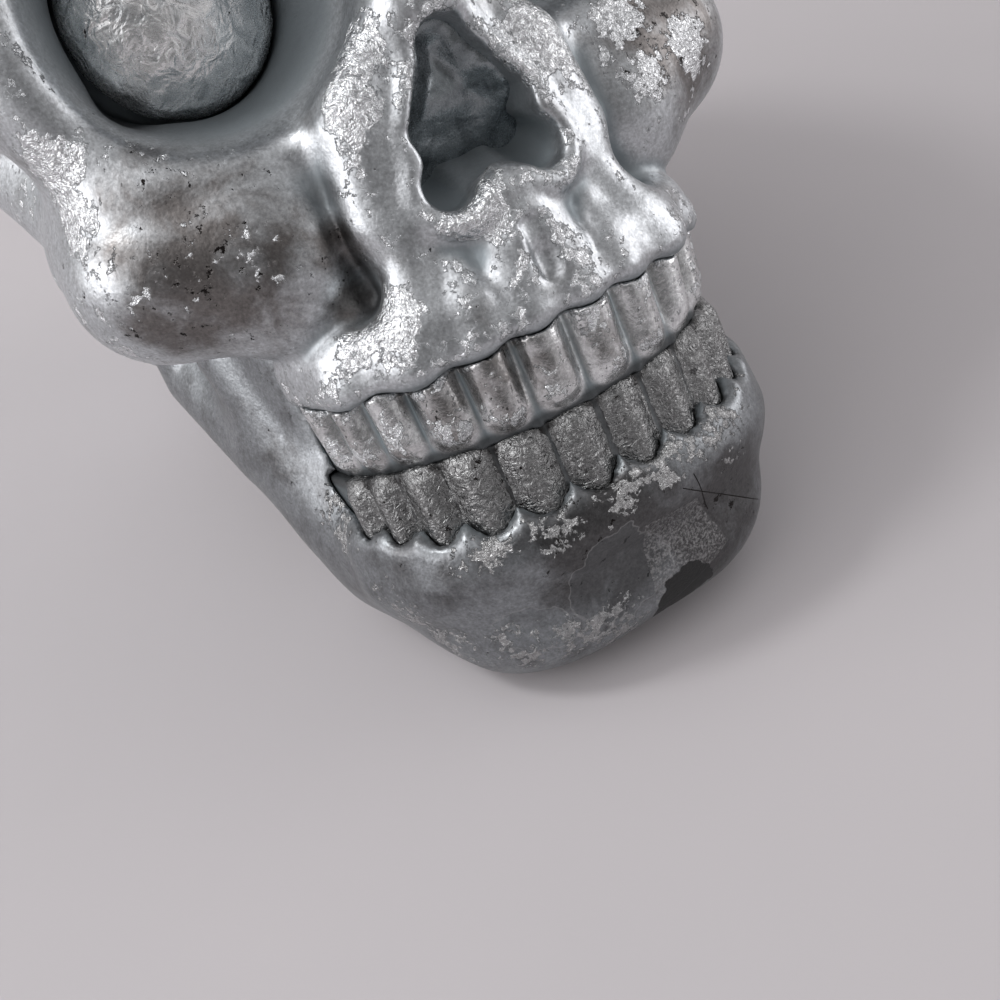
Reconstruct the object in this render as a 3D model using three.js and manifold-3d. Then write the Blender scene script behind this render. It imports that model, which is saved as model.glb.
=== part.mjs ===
// Silver-leafed skull decoration: a hollow moulded head in two shells, with a separate jaw,
// two tooth arches, two eye inserts, a nose insert, a base plate and stick-on pads.
// Millimetres. The sculpt is drawn upright (X to the viewer's right, Y to the back, Z up)
// and then leaned back until the chin and the back of the head come down to the table.
import * as THREE from 'three';
import { mergeVertices } from 'three/addons/utils/BufferGeometryUtils.js';
import Module from 'manifold-3d';

// Moulding and fits
const WALL = 3;
const GAP = 0.3;
const FIT = 0.5;
const SEAM_Y = -2;
const PAST_SEAM = 20;

// How the head stands
const LEAN = 25;
const PAD_HEIGHT = 1.5;
const PAD_RADIUS = 4;
const PAD_GLUE = 0.1;
const FRONT_PAD_X = 26;
const FRONT_PAD_Y = -24;
const REAR_PAD_X = 9;
const STAND_LEVEL = 33;

// Braincase
const VAULT_WIDTH = 110;
const VAULT_LENGTH = 148;
const VAULT_HEIGHT = 116;
const VAULT_Z = 124;
const NECK = [0, 20, 82];
const NECK_HALF = [41, 46, 33];
const BASE_RADIUS = 16;
const BASE_PLATE = 2;
const NECK_RING = 6;

// Eye sockets
const EYE_X = 23.6;
const EYE_Z = 114.5;
const SOCKET_RADIUS = 20;
const SOCKET_TAPER = 0.3;
const SOCKET_MOUTH_Y = -76;
const SOCKET_BACK_Y = -50;
const BALL_RADIUS = 14.6;
const BALL_DEPTH = 15.6;
const BALL_BULGE = 8.6;
const BALL_CLEARANCE = 0.9;

// Nose opening
const NOSE_LOBE_X = 6.9;
const NOSE_LOBE_Z = 79.2;
const NOSE_LOBE_RADIUS = 3.4;
const NOSE_WAIST_Z = 86.5;
const NOSE_WAIST_RADIUS = 8.9;
const NOSE_TIP_Z = 94.5;
const NOSE_TIP_RADIUS = 3.8;
const NOSE_FLOOR_Y = -68;
const NOSE_INSERT_Y = -76;

// Cheekbone
const CHEEK = [39.5, -60, 84];
const CHEEK_WIDTH = 29;
const CHEEK_HEIGHT = 27;

// Teeth
const ARCH_HALF = 34;
const ARCH_DEPTH = 31.5;
const ARCH_Y = -58;
const ARCH_POWER = 2.2;
const ARCH_INSET = 0.6;
const TOOTH_WIDTH = 8.4;
const BACK_TOOTH_RATIO = 0.82;
const UPPER_TEETH = 6;
const LOWER_TEETH = 5;
const TOOTH_BOW = 3.4;
const TOOTH_BEVEL = 1.2;
const GUM_Z = 57.8;
const UPPER_EDGE_Z = 46.6;
const LOWER_EDGE_Z = 45.4;
const LOWER_GUM_Z = 34.2;
const BITE_GAP = 0.6;
const BACK_BITE_RISE = 0.8;
const ROOT_DEPTH = 2.4;
const LOWER_SETBACK = 1.6;
const LOWER_SPREAD = 0.5;
const RAIL_SETBACK = 2.4;
const RAIL_WIDTH = 6;

// Jaw
const CHIN_HALF = 34;
const CHIN_FRONT = 84.5;
const CHIN_TOP_Z = 38;
const MOUTH_SETBACK = 12;

const SILVER = 0xb4b8bc;
const TARNISH = 0x8d8a86;
const DARK_SILVER = 0x6f757b;
const BLACK_PLASTIC = 0x2f3032;
const FELT = 0x202022;

const wasm = await Module();
wasm.setup();

const lean = THREE.MathUtils.degToRad(LEAN);
const clamp = THREE.MathUtils.clamp;
const ramp = THREE.MathUtils.smoothstep;

// Soft joins of two distance fields
const blend = (a, b, k) => {
  const h = clamp(0.5 + (0.5 * (b - a)) / k, 0, 1);
  return b + (a - b) * h - k * h * (1 - h);
};
const trim = (a, b, k) => -blend(-a, -b, k);

// Distance to an egg with a centre and three half sizes
function egg([x, y, z], [cx, cy, cz], [rx, ry, rz]) {
  const u = x - cx;
  const v = y - cy;
  const w = z - cz;
  const near = Math.hypot(u / rx, v / ry, w / rz);
  const slope = Math.hypot(u / rx ** 2, v / ry ** 2, w / rz ** 2) + 1e-6;
  return (near * (near - 1)) / slope;
}

// Distance to a tapering bar through points [x, y, z, radius]
function bar([x, y, z], ...points) {
  let best = Infinity;
  for (let i = 1; i < points.length; i += 1) {
    const [ax, ay, az, ar] = points[i - 1];
    const [bx, by, bz, br] = points[i];
    const [dx, dy, dz] = [bx - ax, by - ay, bz - az];
    const along = (x - ax) * dx + (y - ay) * dy + (z - az) * dz;
    const t = clamp(along / (dx * dx + dy * dy + dz * dz), 0, 1);
    const far = Math.hypot(x - ax - t * dx, y - ay - t * dy, z - az - t * dz);
    best = Math.min(best, far - ar - (br - ar) * t);
  }
  return best;
}

// Dental arches seen from above: the bone's, and the fronts of the two tooth rows
const BONE_ARCH = { half: ARCH_HALF, depth: ARCH_DEPTH };
const UPPER_ARCH = { half: ARCH_HALF - ARCH_INSET, depth: ARCH_DEPTH - ARCH_INSET };
const LOWER_ARCH = { half: ARCH_HALF + LOWER_SPREAD, depth: ARCH_DEPTH - LOWER_SETBACK };

// How far a point stands outside an arch
function outsideArch({ half, depth }, x, y) {
  const front = y < ARCH_Y ? (ARCH_Y - y) / depth : 0;
  const ring = (Math.abs(x / half) ** ARCH_POWER + front ** ARCH_POWER) ** (1 / ARCH_POWER);
  return (ring - 1) * 0.5 * (half + depth);
}

// 0 at the front of the arch, 1 at its back ends
const towardsBack = (y) => ramp(y, ARCH_Y - ARCH_DEPTH + 1.5, ARCH_Y - 2);

const gumLine = (x, y) => GUM_Z - 0.4 * ramp(Math.abs(x), 3, 20) + towardsBack(y);

// Pear-shaped nose outline in the front view
function noseOutline(x, z) {
  const lobe = Math.hypot(Math.abs(x) - NOSE_LOBE_X, z - NOSE_LOBE_Z) - NOSE_LOBE_RADIUS;
  const t = clamp((z - NOSE_WAIST_Z) / (NOSE_TIP_Z - NOSE_WAIST_Z), 0, 1);
  const centre = NOSE_WAIST_Z + t * (NOSE_TIP_Z - NOSE_WAIST_Z);
  const body = Math.hypot(x, z - centre) - NOSE_WAIST_RADIUS - t * (NOSE_TIP_RADIUS - NOSE_WAIST_RADIUS);
  return blend(lobe, body, 2);
}

// The nose opening's side walls; its floor climbs towards the back
function noseWalls(x, y, z) {
  const sunk = Math.max(0, y + 84);
  const climb = 0.5 * sunk * clamp((92 - z) / 14, 0, 1);
  return noseOutline(x, z - climb) + 0.08 * sunk;
}

// Round eye socket that narrows to the ball's own bore
function socket(x, y, z) {
  const narrow = SOCKET_RADIUS - SOCKET_TAPER * Math.max(0, y - SOCKET_MOUTH_Y);
  const radius = Math.max(narrow, BALL_RADIUS + BALL_CLEARANCE);
  const wall = 0.95 * (Math.hypot(x - EYE_X, z - EYE_Z) - radius);
  return Math.max(wall, y - SOCKET_BACK_Y);
}

// Braincase, brow and neck
function braincase(p) {
  const vault = [VAULT_WIDTH / 2, VAULT_LENGTH / 2, VAULT_HEIGHT / 2];
  let d = egg(p, [0, -2, VAULT_Z], vault);
  d = blend(d, egg(p, NECK, NECK_HALF), 14);
  d = blend(d, egg(p, [0, -33, VAULT_Z + 14], [45, 44, 42]), 14);
  d = blend(d, bar(p, [42, 8, 88, 9], [39, 4, 72, 6]), 8);
  d = blend(d, egg(p, [0, -46, 92], [36, 34, 34]), 8);
  return trim(d, -egg(p, [60, -34, VAULT_Z - 8], [12, 20, 19]), 10);
}

// Rim of the socket, brow, nose bridge and the ridge beside the nose
function browAndBridge(p, d) {
  const [x, y, z] = p;
  const rimRadius = SOCKET_RADIUS + 3.5;
  const ring = Math.hypot(x - EYE_X - 0.4, z - EYE_Z) - rimRadius;
  const rim = Math.hypot(ring, 0.8 * (y + 66 - 0.12 * (x - EYE_X))) - 5.5;
  const top = EYE_Z + SOCKET_RADIUS;
  let out = blend(d, rim, 7);
  out = blend(out, bar(p, [0, -76, top - 2.5, 7], [20, -76, top + 1.5, 7.5], [40, -64, top - 4, 7]), 10);
  out = blend(out, bar(p, [44, -60, EYE_Z, 7], [46, -36, EYE_Z + 2, 8]), 10);
  out = blend(out, bar(p, [0, -78, 122, 9], [0, -82, 109, 8], [0, -82, 101, 7]), 6);
  return blend(out, bar(p, [9, -77, 108, 6], [12.5, -80, 92, 5.5], [14.5, -79, 79, 6]), 6);
}

// Upper jaw with the swellings over the tooth roots
function maxilla(p) {
  const [x, y, z] = p;
  const side = Math.max(Math.abs(outsideArch(BONE_ARCH, x, y) + 4) - 1.5, 0);
  const level = Math.max(Math.abs(z - GUM_Z - 3.7) - 2.5, 0);
  const band = trim(Math.hypot(side, level) - 3, y - ARCH_Y + 2, 5);
  let d = blend(egg(p, [0, -57, 72], [24, 31, 18]), band, 5);
  d = blend(d, bar(p, [19.5, -82, 60, 5], [13.5, -82, 74, 3.2]), 3);
  d = blend(d, bar(p, [11, -86.2, 60, 3.2], [9.5, -84.5, 69, 2.2]), 3);
  d = blend(d, bar(p, [4.2, -87, 60, 3.2], [3.6, -86, 70, 2.2]), 3);
  return blend(d, bar(p, [27, -74.5, 60, 4.4], [23, -73, 70, 3]), 3);
}

// Cheekbone bulb with its arch back to the temple
function cheekbone(p) {
  const [cx, cy, cz] = CHEEK;
  let d = egg(p, CHEEK, [CHEEK_WIDTH / 2, 16, CHEEK_HEIGHT / 2]);
  d = blend(d, egg(p, [cx - 12, cy - 6.5, cz + 0.5], [11.5, 11.5, 11.5]), 7);
  d = blend(d, egg(p, [cx - 11.5, cy - 4, cz - 8], [10.5, 10.5, 11]), 6);
  const arch = bar(p, [cx + 5.5, cy + 8, cz + 8, 7], [50, -32, 105, 5.5], [50, -6, 110, 5]);
  return blend(d, arch, 7);
}

// The whole upper skull: negative inside
function upperSkull(px, y, z) {
  const x = Math.abs(px);
  const p = [x, y, z];
  let d = browAndBridge(p, braincase(p));
  d = blend(d, maxilla(p), 5);
  d = blend(d, cheekbone(p), 2 + 7 * ramp(z, 80, 91));
  const rimY = -86.5 + 0.15 * (z - 76) + 0.018 * x * x;
  d = blend(d, Math.hypot(noseOutline(x, z) - 2.4, 0.8 * (y - rimY)) - 2.8, 4);
  d = trim(d, -Math.max(noseWalls(x, y, z), y - NOSE_FLOOR_Y), 3);
  d = blend(d, bar(p, [0, -85.5, 70, 5], [0, -86, 77.4, 1.8]), 2.5);
  d = trim(d, -socket(x, y, z), 7);
  return trim(d, gumLine(x, y) - z, 3);
}

// The jaw before the upper skull and the teeth are let into it: negative inside
function jawBlock(px, y, z) {
  const x = Math.abs(px);
  const p = [x, y, z];
  const out = outsideArch(LOWER_ARCH, x, y);
  const half = CHIN_HALF - 0.2 * Math.max(24 - z, 0) - 0.12 * Math.max(z - 24, 0);
  const front = y < -46 ? (-46 - y) / (CHIN_FRONT - 46) : 0;
  const plan = (((x / half) ** 3 + front ** 3) ** (1 / 3) - 1) * 30;
  const under = 4.2 - z + 0.42 * Math.max(0, y + 70);
  let d = trim(plan, Math.max(z - CHIN_TOP_Z, under), 15);
  d = trim(d, y + 20, 10);
  d = blend(d, bar(p, [27.5, -48, 35, 9.3], [33, -34, 50, 8.6], [35, -14, 64, 9], [35.5, -13, 80, 8]), 12);
  const side = Math.max(Math.abs(out + 4.3 + 0.3 * Math.max(0, y - ARCH_Y + 6)) - 1.5, 0);
  const gum = Math.hypot(side, Math.max(Math.abs(z - LOWER_GUM_Z + 1.2) - 3, 0)) - 3.5;
  d = blend(d, Math.max(gum, y + 40), 9);
  d = blend(d, bar(p, [26, -54, 34, 6.5], [26.5, -52, 50, 6], [27.5, -49, 68, 6.5]), 7);
  d = blend(d, bar(p, [29, -47, 40, 7.5], [31, -42, 52, 7], [32.5, -37, 68, 7.5]), 7);
  const bed = LOWER_GUM_Z + 0.8 + 6 * towardsBack(y) - z;
  d = trim(d, -Math.max(bed, out - 8, -out - 2 * MOUTH_SETBACK, y - ARCH_Y + 3), 1);
  return trim(d, -out - MOUTH_SETBACK, 3);
}

// Evenly divided stretch of a grid axis
function stretch(from, to, step) {
  const count = Math.round((to - from) / step);
  return Array.from({ length: count + 1 }, (_, i) => from + ((to - from) * i) / count);
}

// Stretches end to end, and an axis mirrored about zero
const axis = (...parts) => parts.flatMap((part, i) => (i ? part.slice(1) : part));
const mirrored = (half) => [...half.slice(1).map((v) => -v).reverse(), ...half];

// Closed skin of a field on a box grid: one vertex in each cell that the surface crosses,
// set on the surface, and one quad across each grid edge that it cuts
function skin(field, ...axes) {
  const [xs, ys, zs] = axes.map((a) => [2 * a[0] - a[1], ...a, 2 * a.at(-1) - a.at(-2)]);
  const [nx, ny, nz] = [xs.length, ys.length, zs.length];
  const at = (i, j, k) => (i * ny + j) * nz + k;
  const value = new Float64Array(nx * ny * nz).fill(1);
  for (let i = 1; i < nx - 1; i += 1) {
    for (let j = 1; j < ny - 1; j += 1) {
      for (let k = 1; k < nz - 1; k += 1) {
        value[at(i, j, k)] = field(xs[i], ys[j], zs[k]);
      }
    }
  }
  // no cell face keeps alternating corners, so that each edge of the skin joins two faces
  const rings = [
    [[0, 0, 0], [0, 1, 0], [0, 1, 1], [0, 0, 1]],
    [[0, 0, 0], [1, 0, 0], [1, 0, 1], [0, 0, 1]],
    [[0, 0, 0], [1, 0, 0], [1, 1, 0], [0, 1, 0]],
  ];
  let mended = true;
  while (mended) {
    mended = false;
    for (let i = 0; i < nx - 1; i += 1) {
      for (let j = 0; j < ny - 1; j += 1) {
        for (let k = 0; k < nz - 1; k += 1) {
          rings.forEach((ring) => {
            const spots = ring.map(([a, b, c]) => at(i + a, j + b, k + c));
            const [p, q, r, t] = spots.map((n) => value[n] < 0);
            if (p === r && q === t && p !== q) {
              const [m, n] = p ? [spots[0], spots[2]] : [spots[1], spots[3]];
              value[value[m] > value[n] ? m : n] *= -1;
              mended = true;
            }
          });
        }
      }
    }
  }
  const vertexOf = new Map();
  const positions = [];
  const settle = (x, y, z, low, high) => {
    const p = [x, y, z];
    for (let turn = 0; turn < 4; turn += 1) {
      const d = field(...p);
      const slope = [0, 1, 2].map((a) => {
        const q = [...p];
        q[a] += 0.05;
        return (field(...q) - d) / 0.05;
      });
      const size = slope[0] ** 2 + slope[1] ** 2 + slope[2] ** 2 + 1e-9;
      for (let a = 0; a < 3; a += 1) {
        const inset = 0.04 * (high[a] - low[a]);
        p[a] = clamp(p[a] - (d * slope[a]) / size, low[a] + inset, high[a] - inset);
      }
    }
    return p;
  };
  const corners = [0, 1, 2, 3, 4, 5, 6, 7].map((c) => [c >> 2, (c >> 1) & 1, c & 1]);
  const vertex = (i, j, k) => {
    const key = at(i, j, k);
    if (!vertexOf.has(key)) {
      const sum = [0, 0, 0, 0];
      corners.forEach(([a, b, c], m) => corners.forEach(([d, e, f], n) => {
        const differ = Math.abs(a - d) + Math.abs(b - e) + Math.abs(c - f);
        const v = value[at(i + a, j + b, k + c)];
        const w = value[at(i + d, j + e, k + f)];
        if (m < n && differ === 1 && v < 0 !== w < 0) {
          const t = v / (v - w);
          sum[0] += xs[i + a] + t * (xs[i + d] - xs[i + a]);
          sum[1] += ys[j + b] + t * (ys[j + e] - ys[j + b]);
          sum[2] += zs[k + c] + t * (zs[k + f] - zs[k + c]);
          sum[3] += 1;
        }
      }));
      const mean = sum.slice(0, 3).map((v) => v / sum[3]);
      const low = [xs[i], ys[j], zs[k]];
      const high = [xs[i + 1], ys[j + 1], zs[k + 1]];
      vertexOf.set(key, positions.length / 3);
      positions.push(...settle(...mean, low, high));
    }
    return vertexOf.get(key);
  };
  const index = [];
  const apart = (a, b) => Math.hypot(...[0, 1, 2].map((n) => positions[3 * a + n] - positions[3 * b + n]));
  const quad = (a, b, c, d, flip) => {
    const ring = flip ? [a, d, c, b] : [a, b, c, d];
    const turn = apart(ring[0], ring[2]) > apart(ring[1], ring[3]) ? 1 : 0;
    const [p, q, r, s] = [0, 1, 2, 3].map((n) => ring[(n + turn) % 4]);
    index.push(p, q, r, p, r, s);
  };
  for (let i = 1; i < nx - 1; i += 1) {
    for (let j = 1; j < ny - 1; j += 1) {
      for (let k = 1; k < nz - 1; k += 1) {
        const here = value[at(i, j, k)] < 0;
        if (here !== value[at(i + 1, j, k)] < 0) {
          quad(vertex(i, j - 1, k - 1), vertex(i, j, k - 1), vertex(i, j, k), vertex(i, j - 1, k), !here);
        }
        if (here !== value[at(i, j + 1, k)] < 0) {
          quad(vertex(i - 1, j, k - 1), vertex(i - 1, j, k), vertex(i, j, k), vertex(i, j, k - 1), !here);
        }
        if (here !== value[at(i, j, k + 1)] < 0) {
          quad(vertex(i - 1, j - 1, k), vertex(i, j - 1, k), vertex(i, j, k), vertex(i - 1, j, k), !here);
        }
      }
    }
  }
  const geometry = new THREE.BufferGeometry();
  geometry.setAttribute('position', new THREE.Float32BufferAttribute(positions, 3));
  geometry.setIndex(index);
  return geometry;
}

// The same skin moved outwards, to leave clearance in what is let in beside it
function grown(geometry, by) {
  const copy = geometry.clone();
  copy.computeVertexNormals();
  const position = copy.getAttribute('position');
  const normal = copy.getAttribute('normal');
  for (let i = 0; i < position.count; i += 1) {
    const x = position.getX(i) + by * normal.getX(i);
    const y = position.getY(i) + by * normal.getY(i);
    const z = position.getZ(i) + by * normal.getZ(i);
    position.setXYZ(i, x, y, z);
  }
  return copy;
}

// A closed geometry as a solid for joining and cutting
function solid(geometry) {
  const bare = new THREE.BufferGeometry();
  bare.setAttribute('position', geometry.getAttribute('position').clone());
  if (geometry.index) bare.setIndex(geometry.index.clone());
  const merged = mergeVertices(bare, 1e-4);
  const vertProperties = Float32Array.from(merged.getAttribute('position').array);
  const triVerts = Uint32Array.from(merged.index.array);
  return new wasm.Manifold(new wasm.Mesh({ numProp: 3, vertProperties, triVerts }));
}

// Box and round bar by their limits
function block([x0, x1], [y0, y1], [z0, z1]) {
  const box = new THREE.BoxGeometry(x1 - x0, y1 - y0, z1 - z0);
  return box.translate((x0 + x1) / 2, (y0 + y1) / 2, (z0 + z1) / 2);
}
function disc(radius, x, y, z0, z1) {
  const round = new THREE.CylinderGeometry(radius, radius, z1 - z0, 20);
  return round.rotateX(Math.PI / 2).translate(x, y, (z0 + z1) / 2);
}

// From the upright sculpt to the table: leaned back, then set down
const toTable = new THREE.Matrix4().makeRotationX(-lean);
toTable.premultiply(new THREE.Matrix4().makeTranslation(0, 0, -STAND_LEVEL));
const fromTable = toTable.clone().invert();
const tableCut = (geometry) => solid(geometry.applyMatrix4(fromTable));

// Half an arch from the mid-line to its back end, set back from the tooth fronts
function archPoint({ half, depth }, angle, setback) {
  const x = (half - setback) * Math.sin(angle) ** (2 / ARCH_POWER);
  const y = ARCH_Y - (depth - setback) * Math.cos(angle) ** (2 / ARCH_POWER);
  return new THREE.Vector2(x, y);
}

// Places along half an arch: the middle of each tooth and the way it faces
function toothPlaces(arch, count) {
  const line = stretch(0, Math.PI / 2, Math.PI / 800).map((a) => archPoint(arch, a, 0));
  const curve = new THREE.Path(line);
  const length = curve.getLength();
  let start = 0;
  return Array.from({ length: count }, (_, n) => {
    const width = TOOTH_WIDTH * (n < 3 ? 1 : BACK_TOOTH_RATIO);
    const u = (start + width / 2) / length;
    start += width;
    const tangent = curve.getTangentAt(u);
    return { at: curve.getPointAt(u), turn: Math.atan2(tangent.y, tangent.x), width };
  });
}

// The bite line rises a little towards the back teeth
function lifted(geometry) {
  const position = geometry.getAttribute('position');
  for (let i = 0; i < position.count; i += 1) {
    const rise = BACK_BITE_RISE * ramp(Math.abs(position.getX(i)), 8, 26);
    position.setZ(i, position.getZ(i) + rise);
  }
  return geometry;
}

// One barrel-fronted tooth standing from low to high
function tooth({ at, turn, width }, low, high, side) {
  const outline = new THREE.Shape();
  outline.absellipse(0, TOOTH_BOW, width / 2 - 0.7 - TOOTH_BEVEL, TOOTH_BOW - TOOTH_BEVEL, 0, Math.PI * 2);
  const options = {
    depth: high - low - 2 * TOOTH_BEVEL,
    curveSegments: 5,
    bevelSegments: 1,
    bevelSize: TOOTH_BEVEL,
    bevelThickness: TOOTH_BEVEL,
  };
  const body = new THREE.ExtrudeGeometry(outline, options);
  body.rotateZ(turn).translate(at.x, at.y, low + TOOTH_BEVEL);
  if (side > 0) return lifted(body);
  body.scale(-1, 1, 1);
  const corners = Array.from({ length: body.getAttribute('position').count }, (_, i) => i);
  body.setIndex(corners.map((_, i) => (i % 3 === 1 ? i + 1 : i % 3 === 2 ? i - 1 : i)));
  return lifted(body);
}

// A row of teeth on its rail, which ends inside the last tooth
function toothRow(arch, count, [low, high], [railLow, railHigh]) {
  const places = toothPlaces(arch, count);
  const { at, width } = places.at(-1);
  const end = Math.atan2(at.x / arch.half, (ARCH_Y - at.y) / arch.depth) + (0.2 * width) / arch.half;
  const ring = (inset) => {
    const half = stretch(0, end, end / 9).map((a) => archPoint(arch, a, inset));
    return [...half.slice(1).map((v) => new THREE.Vector2(-v.x, v.y)).reverse(), ...half];
  };
  const outer = ring(RAIL_SETBACK);
  const inner = ring(RAIL_SETBACK + RAIL_WIDTH);
  const rail = new THREE.ExtrudeGeometry(new THREE.Shape([...outer, ...inner.reverse()]), {
    depth: railHigh - railLow,
    bevelEnabled: false,
  });
  let row = solid(lifted(rail.translate(0, 0, railLow)));
  places.forEach((place) => {
    [-1, 1].forEach((side) => {
      row = row.add(solid(tooth(place, low, high, side)));
    });
  });
  return row;
}

// Axes of the sampling grids: fine over the face, wide over the braincase
const FACE_END = SEAM_Y + PAST_SEAM + 12;
const faceX = mirrored(axis(stretch(0, 12, 3), stretch(12, 24, 4), stretch(24, 64, 6.5)));
const foreY = axis(stretch(-98, -74, 3.4), stretch(-74, -62, 4.2), stretch(-62, -40, 6.5));
const faceY = axis(foreY, stretch(-40, FACE_END, 12));
const lowZ = axis(stretch(44, 54, 5), stretch(54, 66, 3), stretch(66, 74, 4), stretch(74, 99, 3.2));
const faceZ = axis(lowZ, stretch(99, 129, 6), stretch(129, 145, 4), stretch(145, 196, 13));
const wideX = mirrored(stretch(0, 66, 11));
const wideY = stretch(SEAM_Y - PAST_SEAM - 12, 90, 11);
const wideZ = stretch(30, 196, 11);
const innerX = mirrored(stretch(0, 66, 9.4));
const innerY = stretch(-104, FACE_END, 9);
const innerZ = stretch(50, 196, 9.5);
const jawX = mirrored(axis(stretch(0, 36, 4.5), stretch(36, 60, 6)));
const jawY = axis(stretch(-96, -60, 4), stretch(-60, 12, 8));
const jawZ = axis(stretch(-6, 46, 4), stretch(46, 104, 8));
const noseX = mirrored(stretch(0, 16, 2.4));
const noseY = stretch(NOSE_INSERT_Y - 4, NOSE_FLOOR_Y + 4, 2);
const noseZ = stretch(70, 104, 2.4);

// Head shells
const FAR = 400;
const seamFront = solid(block([-FAR, FAR], [-FAR, SEAM_Y - GAP / 2], [-FAR, FAR]));
const seamBack = solid(block([-FAR, FAR], [SEAM_Y + GAP / 2, FAR], [-FAR, FAR]));
const level = tableCut(block([-FAR, FAR], [-FAR, FAR], [PAD_HEIGHT, FAR]));

const frontHalf = (inset) => (x, y, z) => Math.max(upperSkull(x, y, z) + inset, y - SEAM_Y - PAST_SEAM);
const backHalf = (inset) => (x, y, z) => Math.max(upperSkull(x, y, z) + inset, SEAM_Y - PAST_SEAM - y);
// The cheek arches are solid: behind the cheekbones the hollow keeps to the braincase
function faceHollow(x, y, z) {
  const keep = Math.min(braincase([Math.abs(x), y, z]) + WALL, y - CHEEK[1] - 20);
  return Math.max(frontHalf(WALL)(x, y, z), keep, GUM_Z + 8 - z);
}

const faceSkin = skin(frontHalf(0), faceX, faceY, faceZ);
const faceOuter = solid(faceSkin);
const faceInner = solid(skin(faceHollow, innerX, innerY, innerZ));
const faceShell = faceOuter.subtract(faceInner).intersect(seamFront);

const backOuter = solid(skin(backHalf(0), wideX, wideY, wideZ));
const backInner = solid(skin(backHalf(WALL), wideX, wideY, wideZ));

// Lowest point of the neck, where the base plate sits
const [, neckDeep, neckTall] = NECK_HALF;
const neckReach = Math.hypot(neckDeep * Math.sin(lean), neckTall * Math.cos(lean));
const neckLow = new THREE.Vector3(
  NECK[0],
  NECK[1] + (neckDeep ** 2 * Math.sin(lean)) / neckReach,
  NECK[2] - (neckTall ** 2 * Math.cos(lean)) / neckReach,
).applyMatrix4(toTable);
const ringTop = PAD_HEIGHT + BASE_PLATE + NECK_RING;
const neckRing = tableCut(disc(BASE_RADIUS + WALL, 0, neckLow.y, PAD_HEIGHT, ringTop));
const neckBore = tableCut(disc(BASE_RADIUS - 3, 0, neckLow.y, -9, ringTop + 1));
const neckRebate = tableCut(disc(BASE_RADIUS + GAP, 0, neckLow.y, -9, PAD_HEIGHT + BASE_PLATE + GAP));
const backShell = backOuter
  .subtract(backInner)
  .intersect(seamBack)
  .add(neckRing)
  .intersect(level)
  .subtract(neckBore)
  .subtract(neckRebate);

// Jaw and teeth, each cleared from the bone that it sits on
const jawSkin = skin(jawBlock, jawX, jawY, jawZ);
const boneAbove = solid(grown(faceSkin, FIT));
const boneBelow = solid(grown(jawSkin, FIT));
const jaw = solid(jawSkin).subtract(boneAbove).intersect(level);
const rootTop = GUM_Z + ROOT_DEPTH;
const rootFoot = LOWER_GUM_Z - ROOT_DEPTH;
const upperRail = [LOWER_EDGE_Z + BITE_GAP, rootTop];
const upperRow = toothRow(UPPER_ARCH, UPPER_TEETH, [UPPER_EDGE_Z, rootTop], upperRail)
  .subtract(boneAbove)
  .subtract(boneBelow);
const lowerSpan = [rootFoot, LOWER_EDGE_Z];
const lowerRow = toothRow(LOWER_ARCH, LOWER_TEETH, lowerSpan, lowerSpan)
  .subtract(boneBelow);

// Inserts
function eyeball(side) {
  const seat = SOCKET_BACK_Y - GAP;
  const ball = new THREE.SphereGeometry(1, 18, 9).scale(BALL_RADIUS, BALL_BULGE, BALL_RADIUS);
  const whole = solid(ball.translate(side * EYE_X, seat - BALL_DEPTH + BALL_BULGE, EYE_Z));
  return whole.intersect(solid(block([-FAR, FAR], [-FAR, seat], [-FAR, FAR])));
}
const noseField = (x, y, z) => Math.max(noseWalls(x, y, z), NOSE_INSERT_Y - y, y - NOSE_FLOOR_Y);
const noseInsert = solid(skin(noseField, noseX, noseY, noseZ)).subtract(boneAbove);

// Named meshes
function piece(name, body, color, roughness, metalness) {
  const { vertProperties, triVerts } = body.getMesh();
  const geometry = new THREE.BufferGeometry();
  geometry.setAttribute('position', new THREE.Float32BufferAttribute(vertProperties, 3));
  geometry.setIndex(new THREE.Uint32BufferAttribute(triVerts, 1));
  geometry.computeVertexNormals();
  const mesh = new THREE.Mesh(geometry, new THREE.MeshStandardMaterial({ color, roughness, metalness }));
  mesh.name = name;
  return mesh;
}

const head = new THREE.Group();
head.rotation.x = -lean;
head.position.z = -STAND_LEVEL;
head.add(
  piece('face_shell', faceShell, SILVER, 0.35, 0.9),
  piece('cranium_shell', backShell, SILVER, 0.35, 0.9),
  piece('lower_jaw', jaw, TARNISH, 0.4, 0.85),
  piece('upper_teeth', upperRow, SILVER, 0.35, 0.9),
  piece('lower_teeth', lowerRow, SILVER, 0.35, 0.9),
  piece('eye_left', eyeball(-1), DARK_SILVER, 0.4, 0.85),
  piece('eye_right', eyeball(1), DARK_SILVER, 0.4, 0.85),
  piece('nose_insert', noseInsert, DARK_SILVER, 0.45, 0.8),
);

const base = new THREE.Group();
const plateLevel = [PAD_HEIGHT, PAD_HEIGHT + BASE_PLATE];
base.add(piece('base_plate', solid(disc(BASE_RADIUS, 0, neckLow.y, ...plateLevel)), BLACK_PLASTIC, 0.6, 0));
const padPlaces = {
  pad_front_left: [-FRONT_PAD_X, FRONT_PAD_Y],
  pad_front_right: [FRONT_PAD_X, FRONT_PAD_Y],
  pad_rear_left: [-REAR_PAD_X, neckLow.y],
  pad_rear_right: [REAR_PAD_X, neckLow.y],
};
Object.entries(padPlaces).forEach(([name, [x, y]]) => {
  base.add(piece(name, solid(disc(PAD_RADIUS, x, y, 0, PAD_HEIGHT - PAD_GLUE)), FELT, 0.95, 0));
});

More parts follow.
